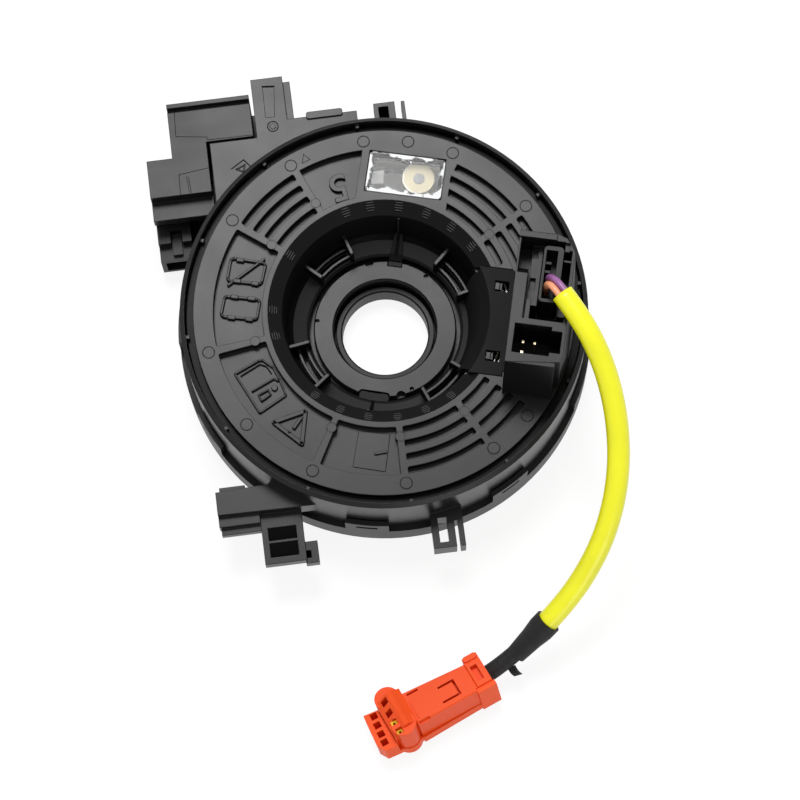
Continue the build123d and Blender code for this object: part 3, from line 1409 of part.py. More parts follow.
export_step(plug_cover.part, "parts/plug_cover.step")

# metal sleeves in two of the hump's ports
with BuildPart() as plug_terminals:
    with BuildSketch(plug.offset(plug_half_height - 4.5)):
        with Locations(*hump_ports[2:]):
            Rectangle(port_side - 0.1, port_side - 0.1)
            Rectangle(0.8, 0.8, mode=Mode.SUBTRACT)
    extrude(amount=3.6)
plug_terminals.part.label = "plug_terminals"
export_step(plug_terminals.part, "parts/plug_terminals.step")
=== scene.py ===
# %% [markdown]
# # A steering clock spring and its finishes
# A clock spring sits behind a steering wheel and carries its wires across the turning joint.
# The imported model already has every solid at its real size: the black case and rotor, the
# connector tower, the lead and its plug.  This notebook gives each solid a finish, replaces
# the lead with smooth curves and adds the small marks that moulding and assembly leave.
# The scene is in metres, in the model's own frame.  Lengths are written in millimetres where
# they are multiplied by MM.

# %% Load the frame
import math

import bmesh
import bpy
from mathutils import Euler, Matrix, Vector


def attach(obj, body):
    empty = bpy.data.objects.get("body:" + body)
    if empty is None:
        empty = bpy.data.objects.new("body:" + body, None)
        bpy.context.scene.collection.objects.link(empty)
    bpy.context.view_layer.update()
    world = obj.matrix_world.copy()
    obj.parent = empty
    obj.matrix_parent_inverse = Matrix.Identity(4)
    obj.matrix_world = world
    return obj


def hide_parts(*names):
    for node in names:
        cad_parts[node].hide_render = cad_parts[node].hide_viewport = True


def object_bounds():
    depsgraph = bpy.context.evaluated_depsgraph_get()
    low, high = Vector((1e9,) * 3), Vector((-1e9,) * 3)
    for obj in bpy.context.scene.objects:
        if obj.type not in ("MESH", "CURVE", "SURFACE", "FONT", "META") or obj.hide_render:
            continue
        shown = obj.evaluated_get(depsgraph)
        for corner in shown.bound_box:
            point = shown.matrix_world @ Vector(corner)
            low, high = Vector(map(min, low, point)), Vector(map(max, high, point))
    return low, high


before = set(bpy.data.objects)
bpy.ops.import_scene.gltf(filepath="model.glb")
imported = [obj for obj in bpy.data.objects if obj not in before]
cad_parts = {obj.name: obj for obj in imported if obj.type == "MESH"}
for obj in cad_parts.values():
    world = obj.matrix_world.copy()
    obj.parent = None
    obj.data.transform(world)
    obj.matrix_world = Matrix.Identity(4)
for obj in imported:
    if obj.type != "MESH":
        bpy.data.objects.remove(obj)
cad_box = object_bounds()
MM = 0.001

# %% [markdown]
# ## Shader maths in plain Python
# A finish such as moulded plastic is a few patterns added and multiplied together.  Wiring
# those nodes one by one hides the idea, so a small class wraps a socket and lets Python's
# own operators add the Math nodes.

# %% A socket with operators


class Value:
    """A shader socket that can be added to, multiplied and so on."""

    def __init__(self, tree, socket):
        self.tree = tree
        self.socket = socket

    def _math(self, operation, first, second=None):
        inputs = {0: first} if second is None else {0: first, 1: second}
        return self.tree.node("ShaderNodeMath", {"operation": operation}, inputs)

    def __add__(self, other):
        return self._math("ADD", self, other)

    def __radd__(self, other):
        return self._math("ADD", other, self)

    def __sub__(self, other):
        return self._math("SUBTRACT", self, other)

    def __rsub__(self, other):
        return self._math("SUBTRACT", other, self)

    def __mul__(self, other):
        return self._math("MULTIPLY", self, other)

    def __rmul__(self, other):
        return self._math("MULTIPLY", other, self)

    def __pow__(self, other):
        return self._math("POWER", self, other)

    def above(self, limit):
        return self._math("GREATER_THAN", self, limit)

    def smaller(self, other):
        return self._math("MINIMUM", self, other)

    def larger(self, other):
        return self._math("MAXIMUM", self, other)

    def size(self):
        return self._math("ABSOLUTE", self)

    def sine(self):
        return self._math("SINE", self)

    def clamped(self):
        return self.tree.node("ShaderNodeClamp", {}, {"Value": self})


# %% [markdown]
# ## One method for every node
# Nodes could be added and linked by hand in each material.  One method does it for all of
# them: it takes the node's type, its settings, and a value or a link for each socket.  The
# floor and the sky use it as it is; a finish adds the Principled shader and a few patterns.

# %% A node tree, and a finish built round a Principled shader


class Tree:
    """A node tree whose nodes all come from one method."""

    def __init__(self, tree):
        self.tree = tree

    def node(self, kind, settings, inputs, output=0):
        made = self.tree.nodes.new(kind)
        for key, value in settings.items():
            setattr(made, key, value)
        for key, value in inputs.items():
            if isinstance(value, Value):
                self.tree.links.new(value.socket, made.inputs[key])
            else:
                made.inputs[key].default_value = value
        return Value(self, made.outputs[output])

    def drop(self, name):
        """Remove a node that a new tree starts with."""
        self.tree.nodes.remove(self.tree.nodes[name])

    def show(self, shader, end="Material Output"):
        """Send a shader to the tree's output."""
        self.tree.links.new(shader.socket, self.tree.nodes[end].inputs[0])


class Finish(Tree):
    """One procedural material, built round a Principled shader."""

    def __init__(self, name, color, roughness, **constants):
        self.material = bpy.data.materials.new(name)
        self.material.use_nodes = True
        super().__init__(self.material.node_tree)
        self.shader = self.tree.nodes["Principled BSDF"]
        self.shader.inputs["Base Color"].default_value = rgba(color)
        self.shader.inputs["Roughness"].default_value = roughness
        for socket, value in constants.items():
            self.shader.inputs[socket.replace("_", " ")].default_value = value

    def place(self):
        """Object coordinates, in metres."""
        return self.node("ShaderNodeTexCoord", {}, {}, "Object")

    def part(self, vector, axis):
        """One of a vector's three numbers."""
        return self.node("ShaderNodeSeparateXYZ", {}, {"Vector": vector}, axis)

    def noise(self, scale, detail, roughness, vector=None):
        inputs = {
            "Vector": vector or self.place(),
            "Scale": scale,
            "Detail": detail,
            "Roughness": roughness,
        }
        return self.node("ShaderNodeTexNoise", {}, inputs, "Fac")

    def mix_color(self, factor, first, second):
        return self.node("ShaderNodeMix", {"data_type": "RGBA"}, {0: factor, 6: first, 7: second}, 2)

    def bump(self, height, strength, distance, normal=None):
        inputs = {"Height": height, "Strength": strength, "Distance": distance}
        if normal is not None:
            inputs["Normal"] = normal
        return self.node("ShaderNodeBump", {}, inputs, "Normal")

    def drive(self, **sockets):
        for name, value in sockets.items():
            self.tree.links.new(value.socket, self.shader.inputs[name.replace("_", " ")])

    def blend_in(self, factor, color):
        """Cover the Principled shader, by a factor, with a matt coat of a colour."""
        coat = self.node("ShaderNodeBsdfDiffuse", {}, {"Color": rgba(color)})
        under = Value(self, self.shader.outputs[0])
        self.show(self.node("ShaderNodeMixShader", {}, {0: factor, 1: under, 2: coat}))


def rgba(color):
    return (*color, 1.0)


def srgb(red, green, blue):
    """Linear colour from the 0 to 255 numbers of a paint chart."""
    channels = []
    for value in (red, green, blue):
        part = value / 255
        channels.append(part / 12.92 if part <= 0.04045 else ((part + 0.055) / 1.055) ** 2.4)
    return tuple(channels)


print("mid grey of a paint chart:", [round(channel, 3) for channel in srgb(128, 128, 128)])

# %% [markdown]
# ## Black moulded plastic
# The case, the rotor and the tower are glass-filled plastic straight from the mould.  Its
# colour is near black; what the eye sees is the sheen of a fine spark-eroded grain and a
# little cloudiness in the gloss.  So the base colour hardly varies, while the roughness and
# a very fine bump do the work.  A real mould has no knife edges either: a Bevel node rounds
# every edge by a fraction of a millimetre as the light sees it, without touching the mesh.
# Steep faces are painted darker than the light makes them: a near-black matt coat covers them
# in part, and on the rotor also the level faces of the deep hub and of the rim gap, as painted shade.

# %% Moulded plastic
BLACK = (0.0075, 0.0075, 0.0083)
DEEP_BLACK = (0.006, 0.006, 0.0066)
CLOUD_SCALE = 55.0
GRAIN_SCALE = 5200.0
GRAIN_HEIGHT = 0.03 * MM
FLOW_SCALE = 140.0
# STEEP_FROM and RING_BORDER set where the painted shade on steep faces and outside the rotor's ring
# begins.
STEEP_FROM = 0.95
LEVEL_BORDER = 8000.0
LOW_PART_ROUGHER = 0.42
RING_BORDER = 9000.0


def paint_shade_on_steep_faces(finish, share, bounds=None):
    """Painted shade: a near-black matt coat over sloping faces, and over level ones outside two radii."""
    facing = finish.node("ShaderNodeNewGeometry", {}, {}, "Normal")
    shade_mask = ((STEEP_FROM - finish.part(facing, "Z")) * 8.0).clamped()
    if bounds is not None:
        across, along = (finish.part(finish.place(), axis) for axis in ("X", "Y"))
        radius = (across * across + along * along) ** 0.5
        inside = ((bounds[0] * MM - radius) * RING_BORDER).clamped()
        outside = ((radius - bounds[1] * MM) * RING_BORDER).clamped()
        shade_mask = (shade_mask + inside + outside).clamped()
    finish.blend_in(shade_mask * share, DEEP_BLACK)


def moulded_plastic(
    name, color, roughness, grain=0.3, cloud=0.07, edge=0.12, specular=0.21,
    flow=None, matt_below=None, wall_shade=0.0, shade_bounds=None,
):
    """Moulded thermoplastic: fine grain, cloudy gloss and slightly rounded edges."""
    finish = Finish(name, color, roughness, Specular_IOR_Level=specular)
    place = finish.place()
    clouds = finish.noise(CLOUD_SCALE, 4.0, 0.6, place)
    fine = finish.noise(GRAIN_SCALE, 2.0, 0.5, place)
    shade = 0.5 + (clouds - 0.5) * 0.6
    dark = tuple(channel * 0.7 for channel in color)
    light = tuple(min(channel * 1.3, 1.0) for channel in color)
    tint = finish.mix_color(shade.clamped(), rgba(dark), rgba(light))
    rough = roughness + (clouds - 0.5) * cloud * 2.0 + (fine - 0.5) * 0.05
    height = fine
    if flow is not None:
        stripes = finish.node("ShaderNodeMapping", {}, {"Vector": place, "Scale": flow})
        lines = finish.noise(FLOW_SCALE, 2.0, 0.5, stripes)
        rough = rough + (lines - 0.5) * 0.08
        height = fine + lines * 0.8
    if matt_below is not None:
        level = finish.part(place, "Z")
        rough = rough + ((matt_below * MM - level) * LEVEL_BORDER).clamped() * LOW_PART_ROUGHER
    rounded = finish.node("ShaderNodeBevel", {"samples": 6}, {"Radius": edge * MM})
    normal = finish.bump(height, grain, GRAIN_HEIGHT, rounded)
    finish.drive(Base_Color=tint, Roughness=rough.clamped(), Normal=normal)
    # Painted shade: a near-black matt coat over steep faces, and outside the given radii.
    if wall_shade > 0:
        paint_shade_on_steep_faces(finish, wall_shade, shade_bounds)
    return finish.material


print("blacks:", BLACK, DEEP_BLACK)

# %% [markdown]
# ## The plastics, one by one
# The same recipe serves every moulded part, black, orange or white.  The lower case shows
# faint flow lines, the plug is a smoother grade, and the tower is glossier on top than on the
# plate that bridges into the funnel.

# %% Plastic finishes
# Outside the DISC_RING radii the rotor's level faces get painted shade; the rotor and the tower also get
# it on their steep faces.
DISC_RING = (21.6, 51.3)
BRIDGE_PLATE_TOP = 29.4
smooth_grade = {"grain": 0.2, "cloud": 0.05, "specular": 0.16}
finishes = {
    "case": moulded_plastic("case_plastic", BLACK, 0.31, edge=0.28),
    "lower_case": moulded_plastic("lower_case_plastic", BLACK, 0.36, edge=0.25, flow=(0.15, 1.0, 1.0)),
    "cover": moulded_plastic("cover_plastic", BLACK, 0.42),
    "rotor": moulded_plastic(
        "rotor_plastic", BLACK, 0.3, edge=0.28, wall_shade=0.76, shade_bounds=DISC_RING
    ),
    "ring": moulded_plastic("ring_plastic", BLACK, 0.32),
    "tower": moulded_plastic(
        "tower_plastic", DEEP_BLACK, 0.33, edge=0.22, matt_below=BRIDGE_PLATE_TOP, wall_shade=0.5
    ),
    "squib": moulded_plastic("squib_plastic", DEEP_BLACK, 0.38),
    "gear": moulded_plastic("gear_plastic", srgb(226, 222, 208), 0.42),
    "roller": moulded_plastic("roller_plastic", srgb(214, 203, 170), 0.4),
    "carrier": moulded_plastic("carrier_plastic", srgb(150, 151, 153), 0.45),
    "joint_block": moulded_plastic("joint_block_plastic", srgb(200, 196, 182), 0.5),
    "plug": moulded_plastic("plug_plastic", srgb(255, 82, 24), 0.38, **smooth_grade),
    "plug_cover": moulded_plastic("plug_cover_plastic", srgb(252, 80, 28), 0.36, **smooth_grade),
    "insert": moulded_plastic("plug_insert_plastic", srgb(240, 200, 30), 0.4),
    "chip": moulded_plastic("chip_resin", (0.012, 0.012, 0.012), 0.55),
    "magnet": moulded_plastic("magnet_ferrite", (0.05, 0.05, 0.052), 0.6),
}
print("plastics:", len(finishes))

# %% [markdown]
# ## Flat cable, circuit board and terminals
# Through the window one sees the flat cable: tinned copper lanes between two clear films.
# Image textures could carry the lanes and the board's tracks, but they would need UV maps on
# meshes that are left alone.  A sine of the height draws the lanes, the borders between
# Voronoi cells make the tracks, and streaks of noise stand for the drawn tin on the pins.

# %% Cable film, circuit board and metal
LANE_PITCH = 1.6 * MM
TRACK_SCALE = 260.0


def flat_cable_finish():
    """Ribbon of clear film with tinned conductors along its length."""
    finish = Finish("flat_cable_film", srgb(212, 208, 196), 0.3, Coat_Weight=0.4, Coat_Roughness=0.15)
    lanes = (finish.part(finish.place(), "Z") * (2 * math.pi / LANE_PITCH)).sine()
    lane = (lanes * 3.0 + 0.5).clamped()
    tint = finish.mix_color(lane, rgba(srgb(225, 220, 205)), rgba(srgb(176, 168, 150)))
    finish.drive(Base_Color=tint, Metallic=lane * 0.7)
    return finish.material


def board_finish():
    """Green solder mask with copper tracks showing through."""
    finish = Finish("board_laminate", srgb(20, 84, 50), 0.35, Coat_Weight=0.3)
    edges = {"feature": "DISTANCE_TO_EDGE"}
    where = {"Vector": finish.place(), "Scale": TRACK_SCALE}
    cells = finish.node("ShaderNodeTexVoronoi", edges, where, "Distance")
    track = (0.12 - cells).above(0.0)
    tint = finish.mix_color(track, rgba(srgb(16, 74, 44)), rgba(srgb(40, 120, 72)))
    finish.drive(Base_Color=tint, Normal=finish.bump(track, 0.3, GRAIN_HEIGHT))
    return finish.material


def tinned_finish():
    """Tin-plated copper alloy, softly drawn along its length."""
    finish = Finish("tinned_pins", srgb(196, 184, 150), 0.28, Metallic=1.0)
    streaks = finish.noise(900.0, 3.0, 0.6)
    tint = finish.mix_color(streaks, rgba(srgb(206, 200, 184)), rgba(srgb(184, 160, 104)))
    finish.drive(Base_Color=tint, Roughness=0.2 + streaks * 0.2)
    return finish.material


finishes["film"] = flat_cable_finish()
finishes["board"] = board_finish()
finishes["metal"] = tinned_finish()
print("finishes so far:", len(finishes))

# %% [markdown]
# ## The inspection window
# A thin clear pane is glued into the disc, and white residue of the glue is left round its
# edge.  The pane could be given a real rim of glue, but the residue has no thickness to
# speak of.  A mask in the pane's own material shows it: the distance to the nearest edge,
# made ragged by noise, blends a white coat over the clear plastic.

# %% Window
WINDOW_CENTRE = (0.55, 38.8)
WINDOW_HALF = (10.35, 5.7)
ROTOR_REST = math.radians(-15.0)
RESIDUE_WAVES = 7.5 * MM
RESIDUE_WIDTH = 0.9 * MM
RESIDUE_BORDER = 5000.0


def window_finish():
    """Clear window, with a ragged border of white glue residue."""
    finish = Finish("window_plastic", (0.9, 0.9, 0.88), 0.1, IOR=1.22, Transmission_Weight=1.0)
    place = finish.place()
    scuffs = finish.noise(420.0, 5.0, 0.7, place)
    finish.drive(Roughness=0.05 + scuffs * 0.15)
    turned = finish.node("ShaderNodeMapping", {}, {"Vector": place, "Rotation": (0, 0, -ROTOR_REST)})
    gaps = []
    for axis, middle, half in zip("XY", WINDOW_CENTRE, WINDOW_HALF):
        gaps.append(half * MM - (finish.part(turned, axis) - middle * MM).size())
    ragged = finish.noise(260.0, 4.0, 0.65, place)
    reach = (ragged - 0.5) * RESIDUE_WAVES + RESIDUE_WIDTH
    mask = ((reach - gaps[0].smaller(gaps[1])) * RESIDUE_BORDER).clamped()
    finish.blend_in(mask, srgb(236, 237, 238))
    return finish.material


finishes["window"] = window_finish()
print("window at", WINDOW_CENTRE, "mm, in the rotor's own directions")

# %% [markdown]
# ## Painted shade in lines where parts meet
# Witness lines, grooves, the gaps between clipped parts and deep recesses lie in shade and show
# as thin black lines.  That shade is painted with one plain, almost black finish without gloss,
# whatever they are cut into.

# %% Line finish
# One almost black matt finish paints the shade in grooves, gaps and recesses.
line = Finish("painted_shade_line", (0.0022, 0.0022, 0.0024), 0.8, Specular_IOR_Level=0.05)
finishes["line"] = line.material
print("finishes so far:", len(finishes))

# %% [markdown]
# ## Dress the solids
# Each solid is one moulding, stamping or ribbon, so each gets one finish.  The meshes stay as
# they are; a table from the solid's name to its finish keeps the whole part in view.

# %% Assign the finishes
node_finish = {
    "stator_case": "case",
    "lower_case": "lower_case",
    "sensor_cover": "cover",
    "sensor_socket": "cover",
    "sensor_socket_pins": "metal",
    "upper_socket_pins": "metal",
    "lower_socket_pins": "metal",
    "cable_joint_block": "joint_block",
    "sensor_board": "board",
    "sensor_chips": "chip",
    "sensor_gear_a": "gear",
    "sensor_gear_b": "gear",
    "magnet_a": "magnet",
    "magnet_b": "magnet",
    "sensor_ring": "ring",
    "rotor_disc": "rotor",
    "rotor_sleeve": "rotor",
    "inspection_window": "window",
    "pad_connector": "tower",
    "pad_terminals": "metal",
    "squib_connector": "squib",
    "flat_cable_inner": "film",
    "flat_cable_outer": "film",
    "flat_cable_loop": "film",
    "roller_carrier": "carrier",
    "cable_roller_1": "roller",
    "cable_roller_2": "roller",
    "cable_roller_3": "roller",
    "cable_roller_4": "roller",
    "plug_housing": "plug",
    "plug_cover": "plug_cover",
    "plug_terminals": "insert",
}


def dress(obj, material):
    """Fill every slot of an object with one material."""
    if not obj.data.materials:
        obj.data.materials.append(material)
    for index in range(len(obj.data.materials)):
        obj.data.materials[index] = material


def cad_object(node):
    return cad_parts[node]


for node, key in node_finish.items():
    dress(cad_object(node), finishes[key])
print("dressed", len(node_finish), "solids")

# %% [markdown]
# ## Vinyl and cloth tape
# The lead's sleeve and wires are soft vinyl, which shines under a thin clear coat and is a
# little wavy.  The tape is woven cotton with creases.  Two crossing sine waves give the
# weave and noise gives the creases, which is lighter than modelling threads.

# %% Cord finishes
THREAD_PITCH = 0.7 * MM


def vinyl(name, color, roughness):
    """Soft vinyl tube: faint clouding, a slight waviness and a soft gloss."""
    finish = Finish(name, color, roughness, Coat_Weight=0.25, Coat_Roughness=0.25)
    clouds = finish.noise(90.0, 4.0, 0.6)
    waves = finish.noise(260.0, 3.0, 0.5)
    dark = tuple(channel * 0.86 for channel in color)
    light = tuple(min(channel * 1.1, 1) for channel in color)
    tint = finish.mix_color(clouds, rgba(dark), rgba(light))
    rough = roughness + (clouds - 0.5) * 0.12
    finish.drive(Base_Color=tint, Roughness=rough, Normal=finish.bump(waves, 0.35, 0.3 * MM))
    return finish.material


def cloth_tape(name):
    """Black woven harness tape."""
    finish = Finish(name, (0.0085, 0.0085, 0.009), 0.62, Specular_IOR_Level=0.25)
    place = finish.place()
    across, along, up = (finish.part(place, axis) for axis in "XYZ")
    thread = 2 * math.pi / THREAD_PITCH
    weave = ((across + up) * thread).sine() * ((along - up) * thread).sine()
    crease = finish.noise(330.0, 4.0, 0.6, place)
    cloth = finish.bump(weave * 0.15 + crease, 0.7, 0.4 * MM)
    finish.drive(Roughness=0.42 + crease * 0.3, Normal=cloth)
    return finish.material


finishes["sleeve"] = vinyl("yellow_sleeve", srgb(242, 240, 16), 0.36)
finishes["purple"] = vinyl("purple_insulation", srgb(150, 92, 152), 0.4)
finishes["peach"] = vinyl("peach_insulation", srgb(244, 160, 118), 0.4)
finishes["tape"] = cloth_tape("black_tape")
dress(cad_object("tape_wrap"), finishes["tape"])
print("all finishes:", len(finishes))

# %% [markdown]
# ## Where the plug lies
# Two thin wires leave the small connector in the tower, run through a yellow sleeve and end,
# wrapped in cloth tape, in an orange plug.  The plug lies on the ground, rolled a little on
# one edge, and its height follows from that roll.  The lead's last points are then measured
# along the plug's own middle line, so the wires enter it straight.

# %% The plug's middle line
PLUG_ANGLE = math.radians(201.9)
PLUG_SPOT = Vector((15.5, -98.1, 0.0))
PLUG_ROLL = math.radians(18.0)
PLUG_HALF_HEIGHT = 5.25
PLUG_HALF_WIDTH = 5.3
PLUG_BACK = -5.5
WIRES_END = 4.0
plug_lift = PLUG_HALF_HEIGHT * math.cos(PLUG_ROLL) + PLUG_HALF_WIDTH * math.sin(PLUG_ROLL)
plug_ahead = Vector((math.cos(PLUG_ANGLE), math.sin(PLUG_ANGLE), 0))


def plug_point(along):
    """A point on the plug's own middle line, in millimetres."""
    return PLUG_SPOT + plug_ahead * along + Vector((0, 0, plug_lift))


plug_corner = plug_point(PLUG_BACK)
print("the plug's middle lies", round(plug_lift, 2), "mm above the ground")

# %% [markdown]
# ## The lead's routes
# A cord is a smooth curve.  It rises out of the tower, bends over and falls
# to the ground in one sweep.  Each route is a list of control points in millimetres.

# %% Routes
TAPED_START = 11.0
sleeve_bend = Vector((38.7, -83.3, 18.7))
sleeve_heading = (plug_corner - sleeve_bend).normalized()
sleeve_foot = sleeve_bend + sleeve_heading * TAPED_START
sleeve_route = [
    Vector((46.0, -9.9, 55.5)),
    Vector((50.1, -17.4, 55.0)),
    Vector((53.6, -26.3, 52.0)),
    Vector((55.7, -35.3, 47.5)),
    Vector((56.3, -44.9, 42.5)),
    Vector((55.3, -54.5, 38.0)),
    Vector((52.3, -64.4, 33.5)),
    Vector((47.3, -73.7, 27.5)),
    sleeve_bend,
    sleeve_foot,
]
taped_route = [sleeve_foot, plug_corner, plug_point(WIRES_END)]
wire_a_route = [
    Vector((43.4, -3.0, 42.5)),
    Vector((43.4, -3.0, 49.5)),
    Vector((44.3, -4.9, 54.3)),
    Vector((46.0, -7.8, 56.3)),
    Vector((49.1, -13.9, 55.5)),
]
wire_b_route = [
    Vector((42.7, -5.2, 42.5)),
    Vector((42.7, -5.2, 49.5)),
    Vector((43.0, -6.4, 54.3)),
    Vector((44.3, -8.65, 56.3)),
    Vector((47.4, -14.8, 55.5)),
]
print("sleeve: a bend of", len(sleeve_route), "points")

# %% [markdown]
# ## Cords as curves
# A swept mesh would do, but a NURBS curve with a round bevel stays smooth at any distance
# and keeps its thickness.  The sleeve is open at its ends, so that the wires are seen
# inside it; a Solidify modifier gives it a wall.

# %% Cord curves
SLEEVE_DIAMETER = 6.0
SLEEVE_WALL = 0.75
TAPED_DIAMETER = 4.6
WIRE_DIAMETER = 1.8


def cord_curve(name, route, diameter, material, replaced, wall=None):
    """Round cord, or an open tube with a wall, along a NURBS spline that rides on the rotor."""
    data = bpy.data.curves.new(name, "CURVE")
    data.dimensions = "3D"
    spline = data.splines.new("NURBS")
    spline.points.add(len(route) - 1)
    for point, place in zip(spline.points, route):
        point.co = (*(place * MM), 1.0)
    spline.order_u = 3
    spline.use_endpoint_u = True
    data.bevel_depth = diameter * MM / 2
    data.bevel_resolution = 6
    data.resolution_u = 10
    data.use_fill_caps = wall is None
    piece = bpy.data.objects.new(name, data)
    bpy.context.scene.collection.objects.link(piece)
    if wall is not None:
        shell = piece.modifiers.new("wall", "SOLIDIFY")
        shell.thickness = wall * MM
        shell.offset = -1.0
        shell.use_rim = True
    data.materials.append(material)
    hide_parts(replaced)
    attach(piece, "rotor")
    print(name, diameter, "mm thick")
    return piece


sleeve = cord_curve(
    "sleeve_tube", sleeve_route, SLEEVE_DIAMETER, finishes["sleeve"], "lead_sleeve",
    wall=SLEEVE_WALL,
)
taped = cord_curve(
    "taped_tail", taped_route, TAPED_DIAMETER, finishes["tape"], "taped_wires"
)
wire_a = cord_curve(
    "wire_purple", wire_a_route, WIRE_DIAMETER, finishes["purple"], "lead_wire_a"
)
wire_b = cord_curve(
    "wire_peach", wire_b_route, WIRE_DIAMETER, finishes["peach"], "lead_wire_b"
)

# %% [markdown]
# ## Marks that the mould leaves
# Ejector pins leave faint circles, and the tool maker engraves pictograms, numerals and frames
# for inserts.  On the plastic they are ridges about a millimetre high or less.  Carving them
# into the big solids would need a boolean for each, so they are built from small bars with
# bevelled edges and from spun rings instead, and laid on their surface with a sunken foot.

# %% Levels and places for relief
FACE_Z = 29.0
POCKET_Z = 26.5
PLATE_Z = 27.0
SOCKET_Z = 25.0
SINK = 0.05
LIFT = 0.03
BAR_EDGE = 0.14
ROUND_FROM = 0.45


def on_rotor(radius, angle):
    """World x and y, in millimetres at rest, of a polar place on the rotor."""
    turned = math.radians(angle) + ROTOR_REST
    return (radius * math.cos(turned), radius * math.sin(turned))


print("the rotor's zero mark lies at", [round(part, 1) for part in on_rotor(50.0, 0.0)])

# %% [markdown]
# ## Bars, discs and rings
# Each mark is a few strokes of a pen with a square tip.  A bar is a cube that is stretched,
# turned and bevelled; a disc is a very flat cone, so its edge slopes; a ring is a square
# section that is spun.  Wide strokes get a disc at each corner, which rounds the joint.

# %% Helpers for relief


def bar(mesh, start, end, width, low, high, edge=BAR_EDGE, overlap=1.0):
    """Straight bar between two points, between two heights, with bevelled edges."""
    first, last = Vector(start), Vector(end)
    run = last - first
    middle = (first + last) / 2
    place = Matrix.Translation((middle.x * MM, middle.y * MM, (low + high) / 2 * MM))
    turn = Matrix.Rotation(math.atan2(run.y, run.x), 4, "Z")
    size = Matrix.Diagonal(((run.length + width * overlap) * MM, width * MM, (high - low) * MM, 1))
    made = bmesh.ops.create_cube(mesh, size=1.0, matrix=place @ turn @ size)
    if edge > 0:
        edges = {link for vert in made["verts"] for link in vert.link_edges}
        bmesh.ops.bevel(
            mesh, geom=list(edges), offset=edge * MM, segments=2, affect="EDGES", profile=0.5, material=-1
        )


def disc(mesh, centre, radius, low, high, slope=0.06):
    """Flat round pad with a sloping edge."""
    place = Matrix.Translation((centre[0] * MM, centre[1] * MM, (low + high) / 2 * MM))
    bmesh.ops.create_cone(
        mesh,
        cap_ends=True,
        segments=28,
        radius1=radius * MM,
        radius2=(radius - slope) * MM,
        depth=(high - low) * MM,
        matrix=place,
    )


def ring(mesh, centre, radius, width, low, high):
    """Square-edged ring, spun about its own centre."""
    inner, outer = radius - width / 2, radius + width / 2
    verts = []
    for across, up in ((inner, low), (outer, low), (outer, high), (inner, high)):
        verts.append(mesh.verts.new(((centre[0] + across) * MM, centre[1] * MM, up * MM)))
    edges = [mesh.edges.new((verts[side], verts[(side + 1) % 4])) for side in range(4)]
    middle = (centre[0] * MM, centre[1] * MM, 0)
    bmesh.ops.spin(
        mesh, geom=verts + edges, cent=middle, axis=(0, 0, 1), angle=2 * math.pi, steps=40, use_merge=True
    )


def outline(mesh, points, width, low, high, closed=True, edge=BAR_EDGE):
    """Bars from point to point."""
    follows = points[1:] + points[:1] if closed else points[1:]
    rounded = width > ROUND_FROM
    for start, end in zip(points, follows):
        bar(mesh, start, end, width, low, high, edge, overlap=0.0 if rounded else 1.0)
    if rounded:
        for point in points:
            disc(mesh, point, width / 2, low, high, edge)


def as_piece(name, mesh, material, body):
    """Turn a finished bmesh into an object that rides on a body and takes a slot's finish."""
    bmesh.ops.remove_doubles(mesh, verts=mesh.verts, dist=1e-7)
    bmesh.ops.recalc_face_normals(mesh, faces=mesh.faces)
    data = bpy.data.meshes.new(name)
    mesh.to_mesh(data)
    mesh.free()
    data.materials.append(material)
    obj = bpy.data.objects.new(name, data)
    bpy.context.scene.collection.objects.link(obj)
    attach(obj, body)
    print(name, len(data.polygons), "faces")
    return obj


# %% [markdown]
# ## Ejector circles
# Where a steel pin pushed the hot part out of the mould, a shallow round pad with a witness
# line is left.  A texture could draw them, but a real pad catches the light on one side, so
# each is a disc a few hundredths of a millimetre high.  A thin dark ring round it paints the
# shade in the gap round the pad, and thin dark rings round the rib circles do the same.

# %% Ejector circles
EJECTOR_ANGLES = (45, 75, 90, 104.5, 129.5, 156, 202, 229, 255, 285, 315, 330)
EJECTOR_CIRCLE = 48.45
RIB_CIRCLE_ANGLES = (44.5, 129.3, 156.5, 202.0, 255.0, 285.0, 315.0)
RIB_CIRCLE = 35.6
pads = bmesh.new()
# Dark rings in the almost black matt finish paint the shade in the gap round each pad and round the rib
# circles.
shade_rings = bmesh.new()
for angle in EJECTOR_ANGLES:
    disc(pads, on_rotor(EJECTOR_CIRCLE, angle), 1.6, FACE_Z - SINK, FACE_Z + LIFT)
    ring(shade_rings, on_rotor(EJECTOR_CIRCLE, angle), 1.66, 0.13, FACE_Z - SINK, FACE_Z + 0.035)
for angle in RIB_CIRCLE_ANGLES:
    ring(shade_rings, on_rotor(RIB_CIRCLE, angle), 1.3, 0.1, FACE_Z - SINK, FACE_Z + LIFT)
as_piece("ejector_pads", pads, finishes["rotor"], "rotor")
as_piece("ejector_shade_rings", shade_rings, finishes["line"], "rotor")

# %% [markdown]
# ## Knurled pads on the sloping band
# Round pads of four fine ribs sit on the slope between the disc and the funnel.  Each rib is
# a chord of the pad's circle, so its length follows from its distance to the middle, and its
# height follows the slope.

